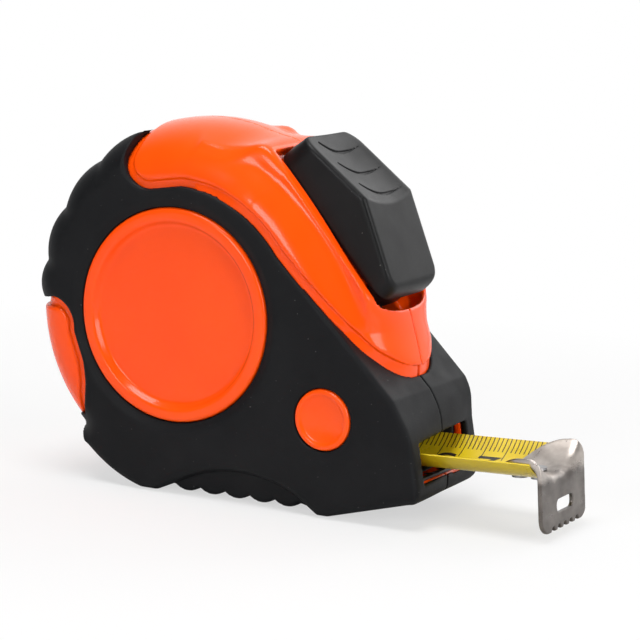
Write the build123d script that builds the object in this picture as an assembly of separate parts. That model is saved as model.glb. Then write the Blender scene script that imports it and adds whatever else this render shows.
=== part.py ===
from build123d import *
import math
import os

# A pocket tape measure with a 25 mm blade, in millimetres. While it is drawn, x runs forward
# from the drum's axis, y runs across with 0 at the joint between the case halves (the right
# half has y below 0), and z runs up from the surface that the case stands on. Each piece is
# moved as it is written, so that the origin is under the middle of the rear foot.

# Case
AXIS_Z = 39.0  # height of the drum's axis
BACK_R = 37.3  # round back and orange patch, about the axis
TOP_R = 41.7  # orange top, about the axis
SOLE_R = 39.3  # rubber under the drum, about the axis
RUBBER_WALL = 2.0
SHELL_WALL = 1.8
EDGE_R = 2.0  # rounding of the rubber's side edges
CORNER_R = 1.8  # rounding of the rubber's outline
REAR_FOOT_X = -6.0
FOOT_HALF = 2.0  # half length of the flat on the rear foot
FRONT_FOOT_X = 37.2
NOSE_X = 60.4  # foremost point of the rubber
NOSE_CORNER = (53.6, 26.8)
ARCH_Z = 6.6  # top of the finger arch in the side panels

# Finger band between the side panels, under the drum
BAND_STEP = 2.8  # how far the band stays inside the side faces
BAND_Z = 1.6
BAND_RUBBER = 1.4
BAND_RIBS = 5
BAND_RIB_DEPTH = 1.1
BAND_START_X = -3.0
BAND_END_X = 31.0

# Rubber ridges on the back
RIDGE_VALLEYS_DEG = (167.5, 146.5, 125.5)
RIDGE_START_DEG = 180.5
RIDGE_END_DEG = 102.5
VALLEY_R = 36.5
RIDGE_R = 37.4
RIDGE_RISE = 0.35  # each ridge stands this much further out than the one below
RIDGE_END_RISE = 2.2  # the topmost point over the valleys

# Orange hump over the drum, down to the tip in front of the button
HUMP_STEP = 1.2  # how far the hump stays inside the side faces
HUMP_EDGE_R = 4.0
HUMP_CORNER_R = 0.6
HUMP_REAR_DEG = 111.5
HUMP_DEEP = 5.6  # how far its rear end reaches into the case
HUMP_TIP_X = 50.4
HUMP_FOOT_X = 50.9
HUMP_TIP_Z = 44.8
HUMP_LIP_Z = 29.6
HUMP_SHOULDER = (47.9, 46.4)
HUMP_FLANK = (38.5, 59.7)
HUMP_KEEL = (42.0, 24.5)

# Round recess in the side face, with the shell showing
DISC_R = 23.25
DISC_FACE_R = 19.3
DISC_RECESS = 1.6
DISC_SLOPE = 1.2
DISC_EDGE_R = 0.8

# Button slot: s runs down the slope from the rear end, n stands out of it
SLOPE_DEG = 48.0
SLOPE_LIFT = 0.63  # the slope's rear end above the hump
SLOPE_START_DEG = 59.3
SLOPE_REACH = 14.0  # cuts along the slope reach this far out of it
BUTTON_LENGTH = 38.5
BUTTON_HALF = 11.0
BUTTON_GAP = 0.35
BUTTON_SINK = 1.5  # the button's underside below the slot's chord
BUTTON_REAR_TALL = 6.3
BUTTON_BEND_S = 19.7
BUTTON_BEND_TALL = 9.5
BUTTON_NOSE_S = 36.4
BUTTON_NOSE_TALL = 3.6
BUTTON_EDGE_R = 1.0
THUMB_DISH_R = 30.0
THUMB_DISH_DEPTH = 1.3
THUMB_GROOVE = 0.45
THUMB_GROOVES = 3
THUMB_GROOVE_R = 9.0
THUMB_GROOVE_WIDE = 0.5
THUMB_GROOVE_PITCH = 5.6
THUMB_GROOVE_SPAN = 14.0
THUMB_DISH_START = 2.5
THUMB_DISH_LENGTH = 16.0
LOCK_TRAVEL = 3.2

# Lock arm, brake shoe and click spring
ARM_HALF = 4.0
ARM_THICK = 3.0
ARM_KNEE = (41.1, 34.0)
ARM_ANKLE = (42.6, 23.0)
ARM_S = 23.5
SHOE_LENGTH = 4.4
SHOE_TALL = 3.0
SHOE_HALF = 5.5
CLICK_SPRING_THICK = 0.5
CLICK_SPRING_HALF = 3.0

# Drum, coil and return spring
HUB_SLACK = 0.1  # the hub's half width past the blade's
FLANGE_GAP = 0.6  # between the drum's flanges and the shells
POST_R = 3.5
POST_SEAT = 1.0
RUNNING_FIT = 0.05
HUB_R = 18.3
HUB_WALL = 1.4
FLANGE_R = 27.5
FLANGE_THICK = 1.0
COIL_R = 25.5
SPRING_TURNS = 7
SPRING_THICK = 0.5
SPRING_INSET = 1.6  # the power spring's edges inside the hub's
SPRING_POST_GAP = 0.3

# Blade: flat width bent to a gutter, hollow side up
BLADE_WIDTH = 25.0
BLADE_THICK = 0.3
BLADE_BEND_R = 16.4
BLADE_TILT_DEG = 2.24
BLADE_REF_X = 58.0
BLADE_EDGE_Z = 15.2  # the blade's edges at BLADE_REF_X
BLADE_TAIL_X = 11.5
ZERO_X = 83.0  # inside of the end hook, pulled out

# End hook
HOOK_THICK = 1.0
HOOK_INSET = 1.5  # the hook's edges inside the blade's
HOOK_DROP = 13.9  # the blade's edges to the teeth
HOOK_LEAN_DEG = 2.0
HOOK_CORNER_R = 3.4
HOOK_PLAY = 1.0
HOOK_SADDLE = 3.6
TONGUE_LENGTH = 11.3
TONGUE_HALF = 5.0
TONGUE_THICK = 0.8
TONGUE_GAP = 0.1
HOOK_SLOT_WIDE = 8.2
HOOK_SLOT_TALL = 2.8
HOOK_SLOT_Z = -8.7
HOOK_TEETH = 5
TOOTH_PITCH = 3.0
TOOTH_R = 0.62
RIVET_R = 1.1
RIVET_HEAD_R = 1.7
RIVET_HEAD = 0.5
RIVET_BACK = (3.9, 8.2)

# Mouth
MOUTH_GAP = 0.8  # beside the blade
MOUTH_TOP_Z = 17.8
MOUTH_FLOOR_Z = 9.6
LIP_X = 58.4
LIP_UNDER_Z = 5.1  # underside of the rubber lip
LIP_RISE = 1.6  # how much thicker the rubber is at the lip
TROUGH_WALL = 1.1
FRONT_X = 56.7  # middle of the front face, over the mouth
GUIDE_THICK = 0.6
GUIDE_START_X = 44.0
GUIDE_RIBS = 4

# Side brake: button, spring, wedge and pad
SIDE_X = 37.36
SIDE_Z = 20.85
SIDE_R = 6.57
SIDE_GAP = 0.1
SIDE_DISH_R = 10.8
SIDE_DISH_DEPTH = 0.5
SIDE_FACE_R = 5.0
SIDE_FACE_DEPTH = 0.4
SIDE_TRAVEL = 1.5
SIDE_SKIRT = 2.4
SIDE_SKIRT_WALL = 1.0
SIDE_CAP_THICK = 1.2
SIDE_PROUD = 0.3  # the button's rim above the bottom of the dish
SIDE_SPRING_R = 3.6
SIDE_SPRING_WIRE_R = 0.3
SIDE_SPRING_TURNS = 3
WELL_WALL = 0.9
WELL_DEPTH = 5.7
STEM_R = 1.6
WEDGE_HALF = 2.6
WEDGE_REAR_Y = 6.2  # how far right of the middle the wedge starts
WEDGE_SLOPE = 0.5  # fall of the pad for each millimetre of the button
WEDGE_GAP = 0.15
WEDGE_Z = 16.4  # the wedge's sloping underside, at the middle of the case
PAD_HALF = 4.0

# Screws and belt clip
BOSS_R = 2.3
BOSS_BITE = 0.6  # how far the rear bosses run into the wall
SCREW_R = 0.9
SCREW_HEAD_R = 1.9
SCREW_HEAD = 1.5
SCREW_LENGTH = 26.0
SCREW_SINK = 1.4
CLIP_WIDE = 18.0
CLIP_THICK = 1.2
CLIP_GAP = 4.8
CLIP_TOP_Z = 53.5
CLIP_FOOT_Z = 31.0
CLIP_TIP_Z = 14.0
CLIP_FLARE = 1.6  # how far the free end turns out
CLIP_FLARE_TALL = 5.0
CLIP_SCREW_R = 1.25
CLIP_SCREW_HEAD_R = 3.2
CLIP_SCREW_HEAD = 1.6

CLEAR = 0.3  # between pieces that move past each other
BEYOND = 1.0  # how far a cut runs past the face that it opens

# Sizes that follow from the ones above
HUB_HALF = BLADE_WIDTH / 2 + HUB_SLACK
HOUSING_HALF = HUB_HALF + FLANGE_THICK + FLANGE_GAP
CASE_HALF = HOUSING_HALF + SHELL_WALL + RUBBER_WALL
SHELL_SIDE = CASE_HALF - RUBBER_WALL
HUMP_HALF = CASE_HALF - HUMP_STEP
BAND_HALF = CASE_HALF - BAND_STEP
WELL_FLOOR_Y = CASE_HALF - WELL_DEPTH
SPRING_HALF = HUB_HALF - SPRING_INSET
HOOK_HALF = BLADE_WIDTH / 2 - HOOK_INSET
MOUTH_HALF = BLADE_WIDTH / 2 + MOUTH_GAP
HEAD_SEAT = CASE_HALF - SCREW_SINK - SCREW_HEAD
SLOT_LENGTH = BUTTON_LENGTH + LOCK_TRAVEL + CLEAR
SLOT_FLOOR = -BUTTON_SINK - CLEAR
BUTTON_FACE_Y = CASE_HALF - SIDE_DISH_DEPTH + SIDE_PROUD
WEDGE_TOP_Z = SIDE_Z + STEM_R
CLIP_IN_Y = CASE_HALF - DISC_RECESS
CLIP_OUT_Y = CLIP_IN_Y + CLIP_THICK + CLIP_GAP


# ---------------------------------------------------------------- helpers
def polar(radius, degrees):
    """The point at that radius and angle about the drum's axis."""
    turn = math.radians(degrees)
    return (radius * math.cos(turn), AXIS_Z + radius * math.sin(turn))


def outline(start, *steps):
    """A closed face in x and z. A step is the next corner, or an arc's (through, end)."""
    edges = []
    here = start
    for step in steps:
        if isinstance(step[0], tuple):
            edges.append(ThreePointArc(here, step[0], step[1]))
            here = step[1]
        else:
            edges.append(Line(here, step))
            here = step
    if math.dist(here, start) > 1e-6:
        edges.append(Line(here, start))
    return make_face(Wire(edges))


def slab(face, near, far):
    """That face made solid between two distances to the right of the middle."""
    return extrude(Plane((0, -near, 0), x_dir=(1, 0, 0), z_dir=(0, -1, 0)) * face, far - near)


def bar(face, half):
    """That face made solid, as far to each side of the middle."""
    return slab(face, -half, half)


def rod(x, z, radius, near, far):
    """A round rod across the case, between two distances to the right of the middle."""
    return slab(Pos(x, z) * Circle(radius), near, far)


def box_between(x, y, z):
    """A box from three (low, high) pairs."""
    size = [high - low for low, high in (x, y, z)]
    middle = [(high + low) / 2 for low, high in (x, y, z)]
    return Pos(*middle) * Box(*size)


def on_slope(s, n):
    """The point that far down the button's slope and that far out of it."""
    turn = math.radians(SLOPE_DEG)
    x = SLOPE_START[0] + s * math.cos(turn) + n * math.sin(turn)
    z = SLOPE_START[1] - s * math.sin(turn) + n * math.cos(turn)
    return (x, z)


def side_edges(part, y):
    """The edges of a part that lie at that y."""
    return part.edges().filter_by_position(Axis.Y, y - 0.01, y + 0.01)


def across(face, start, length):
    """A face in y and z made solid along x."""
    return extrude(Plane((start, 0, 0), x_dir=(0, 1, 0), z_dir=(1, 0, 0)) * face, length)


# ---------------------------------------------------------------- outlines of the case
SLOPE_START = polar(TOP_R + SLOPE_LIFT, SLOPE_START_DEG)
BACK_END_DEG = 225.0
PATCH_TOP = (-30.5, 39.4)
PATCH_TURN = (-26.9, 37.2)
PATCH_SIDE = (-25.4, 33.0)
PATCH_BOTTOM = (-22.3, 15.6)
BOUNDARY_TOP = (25.6, 54.5)
BOUNDARY_MID = (14.6, 63.8)
BOUNDARY_REAR = (1.4, 67.0)
BOUNDARY_DIP = (-6.8, 65.9)
BOUNDARY_HOOK = (-12.5, 71.8)


def ridge_steps():
    """The rubber's ridges on the back, from the top down to the orange patch."""
    ends = [*reversed(RIDGE_VALLEYS_DEG), RIDGE_START_DEG]
    last = RIDGE_END_DEG
    steps = []
    for count, end in enumerate(ends):
        crest = RIDGE_R + RIDGE_RISE * (len(ends) - 1 - count)
        steps.append((polar(crest, (last + end) / 2), polar(VALLEY_R, end)))
        last = end
    return steps


def panel_outline():
    """The rubber as its side face shows it."""
    foot_back = REAR_FOOT_X - FOOT_HALF
    foot_front = REAR_FOOT_X + FOOT_HALF
    return outline(
        (foot_back, 0.0),
        (foot_front, 0.0),
        (2.5, 3.2),
        ((15.5, ARCH_Z), (30.5, 3.7)),
        (FRONT_FOOT_X - 1.2, 0.0),
        (FRONT_FOOT_X + 1.2, 0.0),
        (NOSE_X - 3.0, 5.2),
        ((NOSE_X - 0.6, 6.4), (NOSE_X, 8.9)),
        (58.7, 18.4),
        NOSE_CORNER,
        BOUNDARY_TOP,
        (BOUNDARY_MID, BOUNDARY_REAR),
        BOUNDARY_DIP,
        (BOUNDARY_HOOK, polar(VALLEY_R + RIDGE_END_RISE, RIDGE_END_DEG)),
        *ridge_steps(),
        PATCH_TOP,
        (PATCH_TURN, PATCH_SIDE),
        PATCH_BOTTOM,
        polar(BACK_R, BACK_END_DEG),
        (polar(SOLE_R - 0.3, 244.0), (foot_back, 0.0)),
    )


def body_outline():
    """The case under the rubber: a round back, a low nose and the slope up to the hump."""
    inner = BACK_R - RUBBER_WALL
    return outline(
        (REAR_FOOT_X - FOOT_HALF, 2.2),
        (REAR_FOOT_X + FOOT_HALF, 2.2),
        (1.5, 4.8),
        ((15.5, ARCH_Z + RUBBER_WALL), (30.5, 5.8)),
        (FRONT_FOOT_X - 1.0, 2.3),
        (FRONT_FOOT_X + 1.0, 2.3),
        (LIP_X - 4.0, 7.4),
        (LIP_X - 1.8, 9.0),
        (FRONT_X - RUBBER_WALL, 18.0),
        (NOSE_CORNER[0] - 2.4, NOSE_CORNER[1] - 0.8),
        (BOUNDARY_TOP[0] - 1.4, BOUNDARY_TOP[1] - 1.4),
        ((13.0, 62.4), (0.0, 65.4)),
        polar(inner, 100.0),
        (polar(inner, 180.0), polar(inner, BACK_END_DEG)),
        (polar(inner + 0.8, 244.0), (REAR_FOOT_X - FOOT_HALF, 2.2)),
    )


def hump_outline():
    """The orange top, from the back to the tip in front of the button."""
    return outline(
        (HUMP_FOOT_X, HUMP_LIP_Z),
        (HUMP_TIP_X, HUMP_TIP_Z),
        HUMP_SHOULDER,
        (HUMP_FLANK, polar(TOP_R + 0.3, 57.0)),
        (polar(TOP_R + 0.4, 62.5), polar(TOP_R, 69.0)),
        (polar(TOP_R, 90.0), polar(TOP_R, HUMP_REAR_DEG)),
        polar(TOP_R - HUMP_DEEP, HUMP_REAR_DEG + 4.0),
        (BOUNDARY_HOOK[0] + 2.0, BOUNDARY_HOOK[1] - 5.0),
        (1.0, 60.0),
        (BOUNDARY_TOP[0] - 8.0, BOUNDARY_TOP[1] - 8.0),
        HUMP_KEEL,
    )


def patch_outline():
    """The orange patch low on the back."""
    return outline(
        polar(BACK_R, 181.5),
        (polar(BACK_R, 202.0), polar(BACK_R, BACK_END_DEG - 1.0)),
        polar(BACK_R - 12.0, BACK_END_DEG - 1.0),
        polar(BACK_R - 12.0, 181.5),
    )


def belly_outline(sink, rise):
    """The trough under the drum and blade, inside the rubber's underside. It rises to the lip."""
    return outline(
        (BAND_START_X, BAND_Z + sink + 3.0),
        (BAND_START_X + 3.0, BAND_Z + sink),
        (BAND_END_X, BAND_Z + sink),
        (FRONT_FOOT_X, 1.0 + sink),
        (LIP_X - 1.0, LIP_UNDER_Z + sink + rise),
        (LIP_X - 0.4, LIP_UNDER_Z + sink + rise + 0.3),
        (LIP_X - 0.4, 13.0),
        (BAND_END_X, 16.0),
        (BAND_START_X, 16.0),
    )


def band_outline():
    """The rubber of the finger band, with a row of finger ribs under it."""
    low = BAND_Z
    pitch = (BAND_END_X - BAND_START_X - 3.0) / BAND_RIBS
    here = BAND_START_X + 3.0
    steps = []
    for _ in range(BAND_RIBS):
        there = here + pitch
        steps.append((((here + there) / 2, low - BAND_RIB_DEPTH), (there, low)))
        here = there
    return outline(
        (BAND_START_X, low + 2.4),
        (BAND_START_X + 3.0, low),
        *steps,
        (FRONT_FOOT_X - 1.0, 0.6),
        (LIP_X - 1.2, LIP_UNDER_Z),
        (LIP_X, LIP_UNDER_Z + 1.2),
        (LIP_X, 12.0),
        (BAND_END_X, 12.0),
        (BAND_START_X, 12.0),
    )


def slot_pocket():
    """The space that the lock button slides in, above the slot's floor."""
    return slope_block(-CLEAR, SLOT_LENGTH, SLOT_FLOOR, SLOPE_REACH)


def slope_block(s_from, s_to, low, high):
    """An upright rectangle on the slope."""
    return outline(
        on_slope(s_from, low),
        on_slope(s_to, low),
        on_slope(s_to, high),
        on_slope(s_from, high),
    )


def front_recess():
    """What is cut from the middle of the nose, so that its front stands back from the sides."""
    return outline(
        (LIP_X, -1.0),
        (LIP_X, 9.0),
        (FRONT_X, 18.2),
        (FRONT_X - 0.8, 24.4),
        (NOSE_CORNER[0] + 0.6, NOSE_CORNER[1] + 0.2),
        (NOSE_X + 5.0, NOSE_CORNER[1] + 0.2),
        (NOSE_X + 5.0, -1.0),
    )


# ---------------------------------------------------------------- case halves
BOSS_RING_R = BACK_R - RUBBER_WALL - SHELL_WALL - BOSS_R + BOSS_BITE
BOSSES = (
    polar(BOSS_RING_R, 135.0),
    polar(BOSS_RING_R, 221.0),
    (38.0, 6.9),
    (49.6, 22.9),
)


def rounded(face, half, corner, edge):
    """A slab from the middle out, with its outline's corners and its side edge rounded."""
    solid = slab(fillet(face.vertices(), corner), 0, half)
    return fillet(side_edges(solid, -half), edge)


def shell_outside():
    """One case half before it is hollowed."""
    body = rounded(body_outline(), SHELL_SIDE, HUMP_CORNER_R, EDGE_R)
    hump = rounded(hump_outline(), HUMP_HALF, HUMP_CORNER_R, HUMP_EDGE_R)
    patch = rounded(patch_outline(), HUMP_HALF, HUMP_CORNER_R, HUMP_EDGE_R)
    belly = slab(belly_outline(BAND_RUBBER, LIP_RISE), 0, BAND_HALF - BAND_RUBBER)
    disc = rod(0, AXIS_Z, DISC_R, 0, CASE_HALF)
    disc = fillet(side_edges(disc, -CASE_HALF), DISC_EDGE_R)
    return body + hump + patch + belly + disc


def rubber_outside():
    """One rubber jacket before the shell is taken out of it."""
    panel = rounded(panel_outline(), CASE_HALF, CORNER_R, EDGE_R)
    band = rounded(band_outline(), BAND_HALF, HUMP_CORNER_R, 1.0)
    return panel + band - slab(front_recess(), 0, MOUTH_HALF)


def cavity():
    """The hollow inside one case half."""
    room = slab(offset(body_outline(), -SHELL_WALL), 0, HOUSING_HALF)
    attic = slab(offset(hump_outline(), -SHELL_WALL), 0, HOUSING_HALF)
    trough = belly_outline(BAND_RUBBER + TROUGH_WALL, LIP_RISE - 0.2)
    return room + attic + slab(trough, 0, BAND_HALF - BAND_RUBBER - TROUGH_WALL)


def mouth():
    """The opening that the blade comes out of."""
    x = (LIP_X - 8.0, NOSE_X + 5.0)
    return box_between(x, (-MOUTH_HALF, MOUTH_HALF), (MOUTH_FLOOR_Z - GUIDE_THICK, MOUTH_TOP_Z))


def channel():
    """The button's channel as a solid block, with walls round the pocket."""
    wall = SHELL_WALL
    face = slope_block(-CLEAR - wall, SLOT_LENGTH + wall, SLOT_FLOOR - wall, SLOPE_REACH)
    return slab(face, 0, BUTTON_HALF + BUTTON_GAP + wall)


def arm_slot():
    """The hole in the channel's floor that the lock arm passes through."""
    start = ARM_S - ARM_THICK / 2 - CLEAR
    end = ARM_S + ARM_THICK / 2 + LOCK_TRAVEL + CLEAR
    face = slope_block(start, end, SLOT_FLOOR - SHELL_WALL - 3 * BEYOND, SLOT_FLOOR + BEYOND)
    return bar(face, ARM_HALF + CLEAR)


def case_half():
    """One orange case half, on the right side, with all that both halves share."""
    outside = shell_outside()
    half = outside - cavity() + (outside & channel())
    for x, z in BOSSES:
        half += rod(x, z, BOSS_R, 0, HOUSING_HALF)
    half -= slab(slot_pocket(), 0, BUTTON_HALF + BUTTON_GAP)
    half -= arm_slot()
    half -= mouth()
    half -= disc_recess()
    half -= rod(0, AXIS_Z, POST_R, 0, HOUSING_HALF + POST_SEAT)
    return half


def disc_recess():
    """The shallow dish in the disc, with a sloping rim."""
    rim = Plane((0, -CASE_HALF, AXIS_Z), z_dir=(0, 1, 0)) * Circle(DISC_FACE_R + DISC_SLOPE)
    face = Plane((0, DISC_RECESS - CASE_HALF, AXIS_Z), z_dir=(0, 1, 0)) * Circle(DISC_FACE_R)
    return loft([rim.face(), face.face()])


def side_well():
    """The cup in the right half that the side button moves in."""
    outer = SIDE_R + SIDE_GAP + WELL_WALL
    return rod(SIDE_X, SIDE_Z, outer, WELL_FLOOR_Y, SHELL_SIDE - 0.5)


def side_well_hole():
    """The hole for the side button and its stem."""
    bore = rod(SIDE_X, SIDE_Z, SIDE_R + SIDE_GAP, WELL_FLOOR_Y + WELL_WALL, CASE_HALF + BEYOND)
    return bore + rod(SIDE_X, SIDE_Z, STEM_R + CLEAR, 0, CASE_HALF)


def right_shell():
    """The half on the right, with the side button's well and blind screw holes."""
    half = case_half() + side_well() - side_well_hole()
    for x, z in BOSSES:
        half -= rod(x, z, SCREW_R, -1.0, SCREW_LENGTH - HEAD_SEAT)
    return half


def left_shell():
    """The half on the left, with through holes and seats for the screws."""
    half = mirror(case_half(), about=Plane.XZ)
    for x, z in BOSSES:
        half -= rod(x, z, SCREW_R, -CASE_HALF - BEYOND, 1.0)
        half -= rod(x, z, SCREW_HEAD_R, -CASE_HALF - BEYOND, -HEAD_SEAT)
    return half - rod(0, AXIS_Z, CLIP_SCREW_R, -CASE_HALF - BEYOND, 0)


def right_grip():
    """The rubber jacket on the right, dished round the side button."""
    grip = rubber_outside() - shell_outside() - side_dish()
    grip -= rod(SIDE_X, SIDE_Z, SIDE_R + SIDE_GAP, 0, CASE_HALF + BEYOND)
    return keep_main(grip - mouth())


def left_grip():
    """The rubber jacket on the left, flat at the nose, with holes over the screw heads."""
    nose = slab(front_recess(), 0, CASE_HALF + BEYOND)
    grip = mirror(rubber_outside() - nose - shell_outside() - mouth(), about=Plane.XZ)
    for x, z in BOSSES:
        grip -= rod(x, z, SCREW_HEAD_R + CLEAR, -CASE_HALF - BEYOND, -HEAD_SEAT)
    return keep_main(grip)


def side_dish():
    """The shallow thumb dish round the side button, a slice of a large ball."""
    ball_r = (SIDE_DISH_R**2 + SIDE_DISH_DEPTH**2) / (2 * SIDE_DISH_DEPTH)
    return Pos(SIDE_X, -CASE_HALF + SIDE_DISH_DEPTH - ball_r, SIDE_Z) * Sphere(ball_r)


def keep_main(part):
    """The part without the crumbs that a cut leaves."""
    return max(part.solids(), key=lambda solid: solid.volume)


# ---------------------------------------------------------------- drum and coil
def ring(inner, outer, near, far):
    """A ring about the drum's axis, between two distances to the right of the middle."""
    return rod(0, AXIS_Z, outer, near, far) - rod(0, AXIS_Z, inner, near - 1.0, far + 1.0)


def center_post():
    """The post that the drum turns on, seated in both case halves."""
    reach = HOUSING_HALF + POST_SEAT
    return rod(0, AXIS_Z, POST_R, -reach, reach) - rod(0, AXIS_Z, CLIP_SCREW_R, -reach - 1.0, -4.0)


def drum():
    """The hub that the blade winds on, closed by a flange on the right."""
    hub = ring(HUB_R - HUB_WALL, HUB_R, -HUB_HALF, HUB_HALF)
    return hub + ring(POST_R + RUNNING_FIT, FLANGE_R, HUB_HALF, HUB_HALF + FLANGE_THICK)


def drum_cover():
    """The flange that closes the hub on the left."""
    return ring(POST_R + RUNNING_FIT, FLANGE_R, -HUB_HALF - FLANGE_THICK, -HUB_HALF)


def blade_coil():
    """The wound length of the blade."""
    return ring(HUB_R, COIL_R, -BLADE_WIDTH / 2, BLADE_WIDTH / 2)


def power_spring():
    """The flat spiral spring in the hub, from near the post out to the hub's wall."""
    start = POST_R + SPRING_POST_GAP
    pitch = (HUB_R - HUB_WALL - SPRING_THICK - start) / SPRING_TURNS
    shift = pitch / 4

    def half_turns(offset_r):
        """The ends and middle of each half turn of one face of the strip."""
        found = []
        for count in range(2 * SPRING_TURNS):
            radius = start + offset_r + shift + count * pitch / 2
            side = 1 if count % 2 == 0 else -1
            middle = side * shift
            reach = side * radius
            found.append(((middle - reach, 0), (middle, reach), (middle + reach, 0)))
        return found

    inside = half_turns(0.0)
    outside = half_turns(SPRING_THICK)
    edges = [ThreePointArc(*arc) for arc in inside]
    edges.append(Line(inside[-1][2], outside[-1][2]))
    edges += [ThreePointArc(*reversed(arc)) for arc in reversed(outside)]
    edges.append(Line(outside[0][0], inside[0][0]))
    return bar(Pos(0, AXIS_Z) * make_face(Wire(edges)), SPRING_HALF)


# ---------------------------------------------------------------- blade and end hook
BLADE_HALF_DEG = math.degrees(BLADE_WIDTH / 2 / BLADE_BEND_R)
BEND_CENTRE_Z = BLADE_BEND_R * math.cos(math.radians(BLADE_HALF_DEG))
BLADE_FRAME = Pos(BLADE_REF_X, 0, BLADE_EDGE_Z) * Rot(0, -BLADE_TILT_DEG, 0)
TILT = math.radians(BLADE_TILT_DEG)
HOOK_AT = (ZERO_X - BLADE_REF_X) / math.cos(TILT)
TAIL_AT = (BLADE_TAIL_X - BLADE_REF_X) / math.cos(TILT)
BLADE_TOP_R = BLADE_BEND_R - BLADE_THICK / 2
TONGUE_R = BLADE_TOP_R - TONGUE_GAP


def gutter(x_from, x_to, inner, outer, half_deg):
    """A length of curved strip, hollow side up. Its radii are about the blade's bend."""

    def at(radius, degrees):
        turn = math.radians(degrees)
        return (radius * math.sin(turn), BEND_CENTRE_Z - radius * math.cos(turn))

    face = outline(
        at(outer, -half_deg),
        (at(outer, 0), at(outer, half_deg)),
        at(inner, half_deg),
        (at(inner, 0), at(inner, -half_deg)),
    )
    return across(face, x_from, x_to - x_from)


def upright_rod(x, y, radius, low, high):
    """A round rod square to the blade's length and width."""
    return extrude(Pos(x, y, low) * Circle(radius), high - low)


def blade():
    """The blade outside the coil, with holes for the hook's rivets."""
    end = HOOK_AT - HOOK_PLAY - RUNNING_FIT
    strip = gutter(TAIL_AT, end, BLADE_TOP_R, BLADE_TOP_R + BLADE_THICK, BLADE_HALF_DEG)
    for back in RIVET_BACK:
        strip -= upright_rod(HOOK_AT - back, 0, RIVET_R, -BLADE_TOP_R, 0)
    return BLADE_FRAME * strip


def hook_rivets():
    """The two rivets that hold the hook loosely on the blade."""
    top_of_tongue = BEND_CENTRE_Z - TONGUE_R + TONGUE_THICK
    under_blade = BEND_CENTRE_Z - BLADE_TOP_R - BLADE_THICK
    head_gap = 0.25
    rivets = []
    for back in RIVET_BACK:
        x = HOOK_AT - back
        head_at = top_of_tongue + head_gap
        rivet = upright_rod(x, 0, RIVET_R, under_blade - RIVET_HEAD, head_at + RIVET_HEAD)
        rivet += upright_rod(x, 0, RIVET_HEAD_R, head_at, head_at + RIVET_HEAD)
        rivet += upright_rod(x, 0, RIVET_HEAD_R, under_blade - RIVET_HEAD, under_blade)
        rivets.append(BLADE_FRAME * rivet)
    return rivets[0] + rivets[1]


def hook_plate():
    """The hook's upright plate, with a slot and small teeth, its top cut to the gutter."""
    face = outline(
        (-HOOK_HALF, 2.0),
        (-HOOK_HALF, HOOK_CORNER_R - HOOK_DROP),
        (corner_point(-1), (HOOK_CORNER_R - HOOK_HALF, -HOOK_DROP)),
        (HOOK_HALF - HOOK_CORNER_R, -HOOK_DROP),
        (corner_point(1), (HOOK_HALF, HOOK_CORNER_R - HOOK_DROP)),
        (HOOK_HALF, 2.0),
    )
    slot = RectangleRounded(HOOK_SLOT_WIDE, HOOK_SLOT_TALL, HOOK_SLOT_TALL * 0.4)
    face -= Pos(0, HOOK_SLOT_Z) * slot
    for count in range(HOOK_TEETH):
        y = (count - (HOOK_TEETH - 1) / 2) * TOOTH_PITCH
        face -= Pos(y, -HOOK_DROP) * Circle(TOOTH_R)
    plate = Pos(HOOK_AT, 0, 0) * Rot(0, -HOOK_LEAN_DEG, 0) * across(face, 0, HOOK_THICK)
    hollow = Pos(0, BEND_CENTRE_Z) * Circle(TONGUE_R - TONGUE_THICK)
    return plate - across(hollow, HOOK_AT - HOOK_SADDLE - BEYOND, 2 * HOOK_SADDLE + 2 * BEYOND)


def corner_point(side):
    """The middle of the hook's rounded bottom corner on that side."""
    reach = HOOK_CORNER_R * (1 - math.sqrt(0.5))
    return (side * (HOOK_HALF - reach), reach - HOOK_DROP)


def end_hook():
    """The end hook: plate, full-width saddle and a narrow tongue with slots for the rivets."""
    inner = TONGUE_R - TONGUE_THICK
    saddle_half = math.degrees(math.asin(HOOK_HALF / TONGUE_R)) - 1.0
    tongue_half = math.degrees(math.asin(TONGUE_HALF / TONGUE_R))
    hook = hook_plate()
    hook += gutter(HOOK_AT - HOOK_SADDLE, HOOK_AT + 0.8, inner, TONGUE_R, saddle_half)
    hook += gutter(HOOK_AT - TONGUE_LENGTH, HOOK_AT, inner, TONGUE_R, tongue_half)
    for back in RIVET_BACK:
        x = HOOK_AT - back
        hole_r = RIVET_R + 0.1
        for shift in (0.0, HOOK_PLAY):
            hook -= upright_rod(x + shift, 0, hole_r, -BLADE_TOP_R, 0)
        hook -= box_between((x, x + HOOK_PLAY), (-hole_r, hole_r), (-BLADE_TOP_R, 0))
    return BLADE_FRAME * hook


# ---------------------------------------------------------------- lock button, arm and shoe
def lock_button():
    """The thumb button, dished on top and grooved across."""
    low = -BUTTON_SINK
    face = outline(
        on_slope(0, low),
        on_slope(1.0, BUTTON_REAR_TALL),
        on_slope(BUTTON_BEND_S, BUTTON_BEND_TALL),
        on_slope(BUTTON_NOSE_S, BUTTON_NOSE_TALL),
        on_slope(BUTTON_LENGTH, 1.2),
        on_slope(BUTTON_LENGTH, low),
    )
    body = bar(face, BUTTON_HALF)
    top = [edge for edge in body.edges() if abs(abs(edge.center().Y) - BUTTON_HALF) < 0.01]
    raised = [edge for edge in top if edge not in lowest_edges(top)]
    body = fillet(raised, BUTTON_EDGE_R)
    return body - thumb_dish() - thumb_grooves()


def lowest_edges(edges):
    """The edges of the button that lie along its underside."""
    turn = math.radians(SLOPE_DEG)
    heights = [edge.center().X * math.sin(turn) + edge.center().Z * math.cos(turn) for edge in edges]
    return [edge for edge, height in zip(edges, heights) if height < min(heights) + 0.01]


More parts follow.
